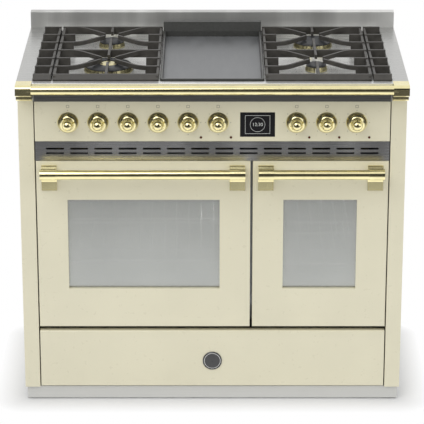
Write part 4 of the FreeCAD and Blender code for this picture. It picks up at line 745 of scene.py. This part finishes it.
class COOKER_OT_clock(bpy.types.Operator):
    """Ring, digits and frame on the display's glass"""
    bl_idname = "cooker.clock"
    bl_label = "Clock face"

    def execute(self, context):
        trim = context.scene.cooker_trim
        low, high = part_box("display")
        centre = middle_of("display")
        on_glass = facing((centre.x, low[1], centre.z), (0, -1, 0))
        parts = []
        clear_selection()
        bpy.ops.mesh.primitive_torus_add(major_segments=64, minor_segments=8, location=(0.0, 0.0, 0.0),
                                         major_radius=trim.ring_radius, minor_radius=trim.ring_line)
        parts.append(place_copies(bpy.context.active_object, [on_glass], "clock_ring"))
        clear_selection()
        bpy.ops.object.text_add(location=(0.0, 0.0, 0.0))
        digits = bpy.context.active_object
        digits.data.body = "12:30"
        digits.data.align_x = "CENTER"
        digits.data.align_y = "CENTER"
        digits.data.size = trim.digit_size
        digits.data.extrude = trim.digit_height
        bpy.ops.object.convert(target="MESH")
        upright = Matrix.Rotation(math.pi / 2, 4, "X")
        digits.data.transform(Matrix.Translation((centre.x, low[1], centre.z)) @ upright)
        digits.name = "clock_digits"
        parts.append(digits)
        clear_selection()
        bpy.ops.mesh.primitive_plane_add(size=1.0, location=(0.0, 0.0, 0.0))
        outline = bpy.context.active_object
        outline.scale = ((high[0] - low[0]) * 0.65, (high[2] - low[2]) * 0.66, 1.0)
        bpy.ops.object.transform_apply(location=True, rotation=True, scale=True)
        outline_of(outline, trim.frame_line, trim.frame_height)
        parts.append(place_copies(outline, [on_glass], "clock_frame"))
        glow = moulded_plastic("display_segments", context.scene.cooker_finishes.segments, 0.4)
        for part in parts:
            coat(glow, part.name)
            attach(part, "cabinet")
        return {"FINISHED"}


class COOKER_OT_igniters(bpy.types.Operator):
    """Ceramic igniter in front of each burner"""
    bl_idname = "cooker.igniters"
    bl_label = "Igniters"

    def execute(self, context):
        trim = context.scene.cooker_trim
        radius = trim.igniter_radius
        body = start_disc("igniter", radius * 1.3, 0.003, 16)
        for inset, lift in IGNITER_STEPS:
            raise_top(body, radius * inset, lift)
        bevel(body, 0.0003)
        smooth(body)
        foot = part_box("burner_bases")[1][2] - trim.igniter_sink
        placings = [Matrix.Translation((x, y - reach - trim.igniter_gap, foot))
                    for x, y, reach in burner_circles()]
        igniters = place_copies(body, placings, "igniters")
        coat(enamel("ceramic", context.scene.cooker_finishes.ceramic, 0.35, 0.1), "igniters")
        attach(igniters, "cabinet")
        return {"FINISHED"}


def burner_circles():
    """Middle and radius of each burner's crown, read from the crowns' mesh."""
    mesh = NODES["burner_crowns"].data
    middle_y = middle_of("burner_crowns").y
    circles = []
    for x_way in (-1, 1):
        for y_way in (-1, 1):
            points = [vertex.co for vertex in mesh.vertices
                      if vertex.co.x * x_way > 0 and (vertex.co.y - middle_y) * y_way > 0]
            xs = [point.x for point in points]
            ys = [point.y for point in points]
            circles.append(((min(xs) + max(xs)) / 2, (min(ys) + max(ys)) / 2, (max(xs) - min(xs)) / 2))
    return circles


class COOKER_OT_screws(bpy.types.Operator):
    """Socket screws on the back panel and the fan cover"""
    bl_idname = "cooker.screws"
    bl_label = "Screws"

    def execute(self, context):
        trim = context.scene.cooker_trim
        screw = start_disc("screw", trim.screw_radius, trim.screw_height * 0.6, trim.facets)
        raise_top(screw, trim.screw_radius * 0.2, trim.screw_height * 0.4)
        hollow_hex(screw, trim.screw_radius * 0.45, trim.screw_height * 0.7)
        smooth(screw)
        low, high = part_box("back_panel")
        sides = (low[0] + trim.screw_side, high[0] - trim.screw_side)
        rows = [(x, z) for x in (sides[0], low[0] / 3, high[0] / 3, sides[1])
                for z in (low[2] + trim.screw_end, high[2] - trim.screw_end)]
        rows += [(x, z) for z in BACK_SCREW_HEIGHTS for x in sides]
        placings = [facing((x, high[1] - trim.screw_sink, z), (0, 1, 0)) for x, z in rows]
        low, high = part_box("fan_cover")
        for x in (low[0] + trim.cover_inset, high[0] - trim.cover_inset):
            for z in (low[2] + trim.cover_inset, high[2] - trim.cover_inset):
                placings.append(facing((x, low[1], z), (0, -1, 0)))
        screws = place_copies(screw, placings, "screws")
        base = context.scene.cooker_finishes.screw
        coat(brushed_steel("screw_steel", base, 0.3, (200.0, 200.0, 200.0)), "screws")
        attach(screws, "cabinet")
        return {"FINISHED"}


class COOKER_OT_oven_lamps(bpy.types.Operator):
    """Round lamp glass in the back of each oven"""
    bl_idname = "cooker.oven_lamps"
    bl_label = "Oven lamps"

    def execute(self, context):
        trim = context.scene.cooker_trim
        lens = start_disc("lamp", trim.lamp_radius, trim.lamp_depth, 40)
        raise_top(lens, trim.lamp_depth, -trim.lamp_dish)
        raise_top(lens, 0.0, 0.0)
        bevel(lens, 0.0006)
        smooth(lens)
        placings = []
        for node in ("oven_liner_left", "oven_liner_right"):
            low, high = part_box(node)
            placings.append(facing((high[0] - trim.lamp_side, high[1] - LINER_SHEET,
                                    high[2] - trim.lamp_drop), (0, -1, 0)))
        lamps = place_copies(lens, placings, "oven_lamps")
        coat(enamel("lamp_glass", context.scene.cooker_finishes.lamp, 0.2, 0.3), "oven_lamps")
        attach(lamps, "cabinet")
        for placing in placings:
            spot = placing.translation
            clear_selection()
            bpy.ops.object.light_add(type="POINT", radius=0.02,
                                     location=(spot.x, spot.y - 0.06, spot.z))
            bpy.context.active_object.data.energy = trim.lamp_power
        return {"FINISHED"}


class COOKER_OT_studio(bpy.types.Operator):
    """Pale floor, soft lamps, white surroundings and the camera"""
    bl_idname = "cooker.studio"
    bl_label = "Studio"

    def execute(self, context):
        studio = context.scene.cooker_studio
        self.add_floor(studio)
        self.add_world(context.scene, studio)
        self.add_lamp("key", (-1.6, -2.6, 3.6), 3.0, studio.key_power)
        self.add_lamp("fill", (2.8, -2.0, 2.2), 2.4, studio.fill_power)
        clear_selection()
        place = (studio.camera_aside, -studio.camera_distance, studio.camera_height)
        bpy.ops.object.camera_add(location=place, rotation=(math.pi / 2 - studio.camera_pitch, 0.0, 0.0))
        camera = context.active_object
        camera.data.sensor_width = 36.0
        camera.data.lens = studio.camera_lens
        camera.data.clip_end = 200.0
        context.scene.camera = camera
        context.scene.view_settings.view_transform = "Standard"
        return {"FINISHED"}

    def add_floor(self, studio):
        """Pale paper, white to the camera but for the shadow round the cooker, dimming in metal."""
        clear_selection()
        bpy.ops.mesh.primitive_plane_add(size=studio.floor_size)
        floor = bpy.context.active_object
        floor.name = "studio_floor"
        material, tree, shader = new_material("studio_floor", (0.86, 0.86, 0.86), 0.6)
        place = object_place(tree)
        tint = blend_colours(tree, noise(tree, place, 2.0), (0.85, 0.85, 0.85), (0.87, 0.87, 0.87))
        tree.links.new(tint, shader.inputs["Base Color"])
        low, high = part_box("plinth")
        away = self.distance_outside(tree, place, (high[0], -low[1]))
        clear = spread(tree, away, 0.0, 1.0, 0.0, studio.shadow_reach)
        rays = tree.nodes.new("ShaderNodeLightPath")
        seen = tree.nodes.new("ShaderNodeMath")
        seen.operation = "MULTIPLY"
        tree.links.new(rays.outputs["Is Camera Ray"], seen.inputs[0])
        tree.links.new(clear, seen.inputs[1])
        paper = tree.nodes.new("ShaderNodeEmission")
        whitened = tree.nodes.new("ShaderNodeMixShader")
        tree.links.new(seen.outputs[0], whitened.inputs[0])
        tree.links.new(shader.outputs[0], whitened.inputs[1])
        tree.links.new(paper.outputs[0], whitened.inputs[2])
        parts = tree.nodes.new("ShaderNodeSeparateXYZ")
        tree.links.new(place, parts.inputs[0])
        mirrored = tree.nodes.new("ShaderNodeEmission")
        ahead = spread(tree, parts.outputs["Y"], 0.10, 1.25, -studio.mirror_end, -studio.mirror_start)
        tree.links.new(ahead, mirrored.inputs["Strength"])
        mixer = tree.nodes.new("ShaderNodeMixShader")
        tree.links.new(rays.outputs["Is Glossy Ray"], mixer.inputs[0])
        tree.links.new(whitened.outputs[0], mixer.inputs[1])
        tree.links.new(mirrored.outputs[0], mixer.inputs[2])
        tree.links.new(mixer.outputs[0], tree.nodes["Material Output"].inputs["Surface"])
        floor.data.materials.append(material)

    def distance_outside(self, tree, place, half):
        """Distance on the floor from a rectangle round the origin, 0 inside it."""
        steps = (("ABSOLUTE", None), ("SUBTRACT", (half[0], half[1], 0.0)), ("MAXIMUM", (0.0, 0.0, 0.0)),
                 ("LENGTH", None))
        value = place
        for operation, other in steps:
            node = tree.nodes.new("ShaderNodeVectorMath")
            node.operation = operation
            tree.links.new(value, node.inputs[0])
            if other is not None:
                node.inputs[1].default_value = other
            value = node.outputs["Value"] if operation == "LENGTH" else node.outputs["Vector"]
        return value

    def add_world(self, scene, studio):
        """Even light for surfaces, white for camera and glass, a room with a dim wall for metal."""
        world = bpy.data.worlds.new("studio_world")
        scene.world = world
        world.use_nodes = True
        tree = world.node_tree
        fill = tree.nodes["Background"]
        fill.inputs["Color"].default_value = (1.0, 1.0, 1.0, 1.0)
        fill.inputs["Strength"].default_value = studio.world_level
        white = tree.nodes.new("ShaderNodeBackground")
        white.inputs["Color"].default_value = (1.0, 1.0, 1.0, 1.0)
        white.inputs["Strength"].default_value = 1.0
        room = tree.nodes.new("ShaderNodeBackground")
        room.inputs["Strength"].default_value = 1.0
        tree.links.new(self.wall_colours(tree), room.inputs["Color"])
        rays = tree.nodes.new("ShaderNodeLightPath")
        seen = tree.nodes.new("ShaderNodeMath")
        seen.operation = "MAXIMUM"
        tree.links.new(rays.outputs["Is Camera Ray"], seen.inputs[0])
        tree.links.new(rays.outputs["Is Transmission Ray"], seen.inputs[1])
        shader = fill.outputs[0]
        for factor, other in ((rays.outputs["Is Glossy Ray"], room), (seen.outputs[0], white)):
            mixer = tree.nodes.new("ShaderNodeMixShader")
            tree.links.new(factor, mixer.inputs[0])
            tree.links.new(shader, mixer.inputs[1])
            tree.links.new(other.outputs[0], mixer.inputs[2])
            shader = mixer.outputs[0]
        tree.links.new(shader, tree.nodes["World Output"].inputs["Surface"])

    def wall_colours(self, tree):
        """Colour of the room by direction: white but for a dim stretch of wall ahead."""
        place = tree.nodes.new("ShaderNodeTexCoord")
        parts = tree.nodes.new("ShaderNodeSeparateXYZ")
        tree.links.new(place.outputs["Generated"], parts.inputs[0])
        level = spread(tree, parts.outputs["Z"], 0.0, 1.0, -1.0, 1.0)
        ramp = tree.nodes.new("ShaderNodeValToRGB")
        stops = ramp.color_ramp.elements
        stops[0].position, stops[0].color = WALL_DIM[0], (0.0, 0.0, 0.0, 1.0)
        stops[1].position, stops[1].color = WALL_DIM[-1], (0.0, 0.0, 0.0, 1.0)
        for position in WALL_DIM[1:-1]:
            stops.new(position).color = (1.0, 1.0, 1.0, 1.0)
        tree.links.new(level, ramp.inputs["Fac"])
        ahead = spread(tree, parts.outputs["Y"], 1.0, 0.0, -0.45, -0.10)
        dim = tree.nodes.new("ShaderNodeMath")
        dim.operation = "MULTIPLY"
        tree.links.new(ramp.outputs["Color"], dim.inputs[0])
        tree.links.new(ahead, dim.inputs[1])
        return blend_colours(tree, dim.outputs[0], (1.0, 1.0, 1.0), (0.03, 0.03, 0.03))

    def add_lamp(self, name, place, size, power):
        clear_selection()
        bpy.ops.object.light_add(type="AREA", location=place)
        lamp = bpy.context.active_object
        lamp.name = name
        lamp.data.shape = "SQUARE"
        lamp.data.size = size
        lamp.data.energy = power
        aim = Vector((0.0, -0.1, 0.5)) - Vector(place)
        lamp.rotation_euler = aim.to_track_quat("-Z", "Y").to_euler()


OPERATORS = (
    COOKER_OT_enamel,
    COOKER_OT_brass,
    COOKER_OT_metalwork,
    COOKER_OT_ironwork,
    COOKER_OT_glazing,
    COOKER_OT_pilot_lamps,
    COOKER_OT_panel_marks,
    COOKER_OT_clock,
    COOKER_OT_igniters,
    COOKER_OT_screws,
    COOKER_OT_oven_lamps,
    COOKER_OT_studio,
)


class COOKER_PT_panel(bpy.types.Panel):
    """Lists the cooker's pieces, finishes and studio"""
    bl_idname = "COOKER_PT_panel"
    bl_label = "Range cooker"
    bl_space_type = "VIEW_3D"
    bl_region_type = "UI"
    bl_category = "Cooker"

    def draw(self, context):
        for group in ("cooker_finishes", "cooker_trim", "cooker_studio"):
            settings = getattr(context.scene, group)
            box = self.layout.box()
            for name in settings.bl_rna.properties.keys():
                if name not in ("rna_type", "name"):
                    box.prop(settings, name)
        for operator in OPERATORS:
            self.layout.operator(operator.bl_idname)


CLASSES = (CookerFinishes, CookerTrim, CookerStudio) + OPERATORS + (COOKER_PT_panel,)


def register():
    for item in CLASSES:
        bpy.utils.register_class(item)
    bpy.types.Scene.cooker_finishes = PointerProperty(type=CookerFinishes)
    bpy.types.Scene.cooker_trim = PointerProperty(type=CookerTrim)
    bpy.types.Scene.cooker_studio = PointerProperty(type=CookerStudio)


def unregister():
    del bpy.types.Scene.cooker_studio
    del bpy.types.Scene.cooker_trim
    del bpy.types.Scene.cooker_finishes
    for item in reversed(CLASSES):
        bpy.utils.unregister_class(item)


def main():
    register()
    for operator in OPERATORS:
        category, name = operator.bl_idname.split(".")
        if getattr(getattr(bpy.ops, category), name)() != {"FINISHED"}:
            raise RuntimeError(operator.bl_idname + " did not finish")


if __name__ == "__main__":
    main()
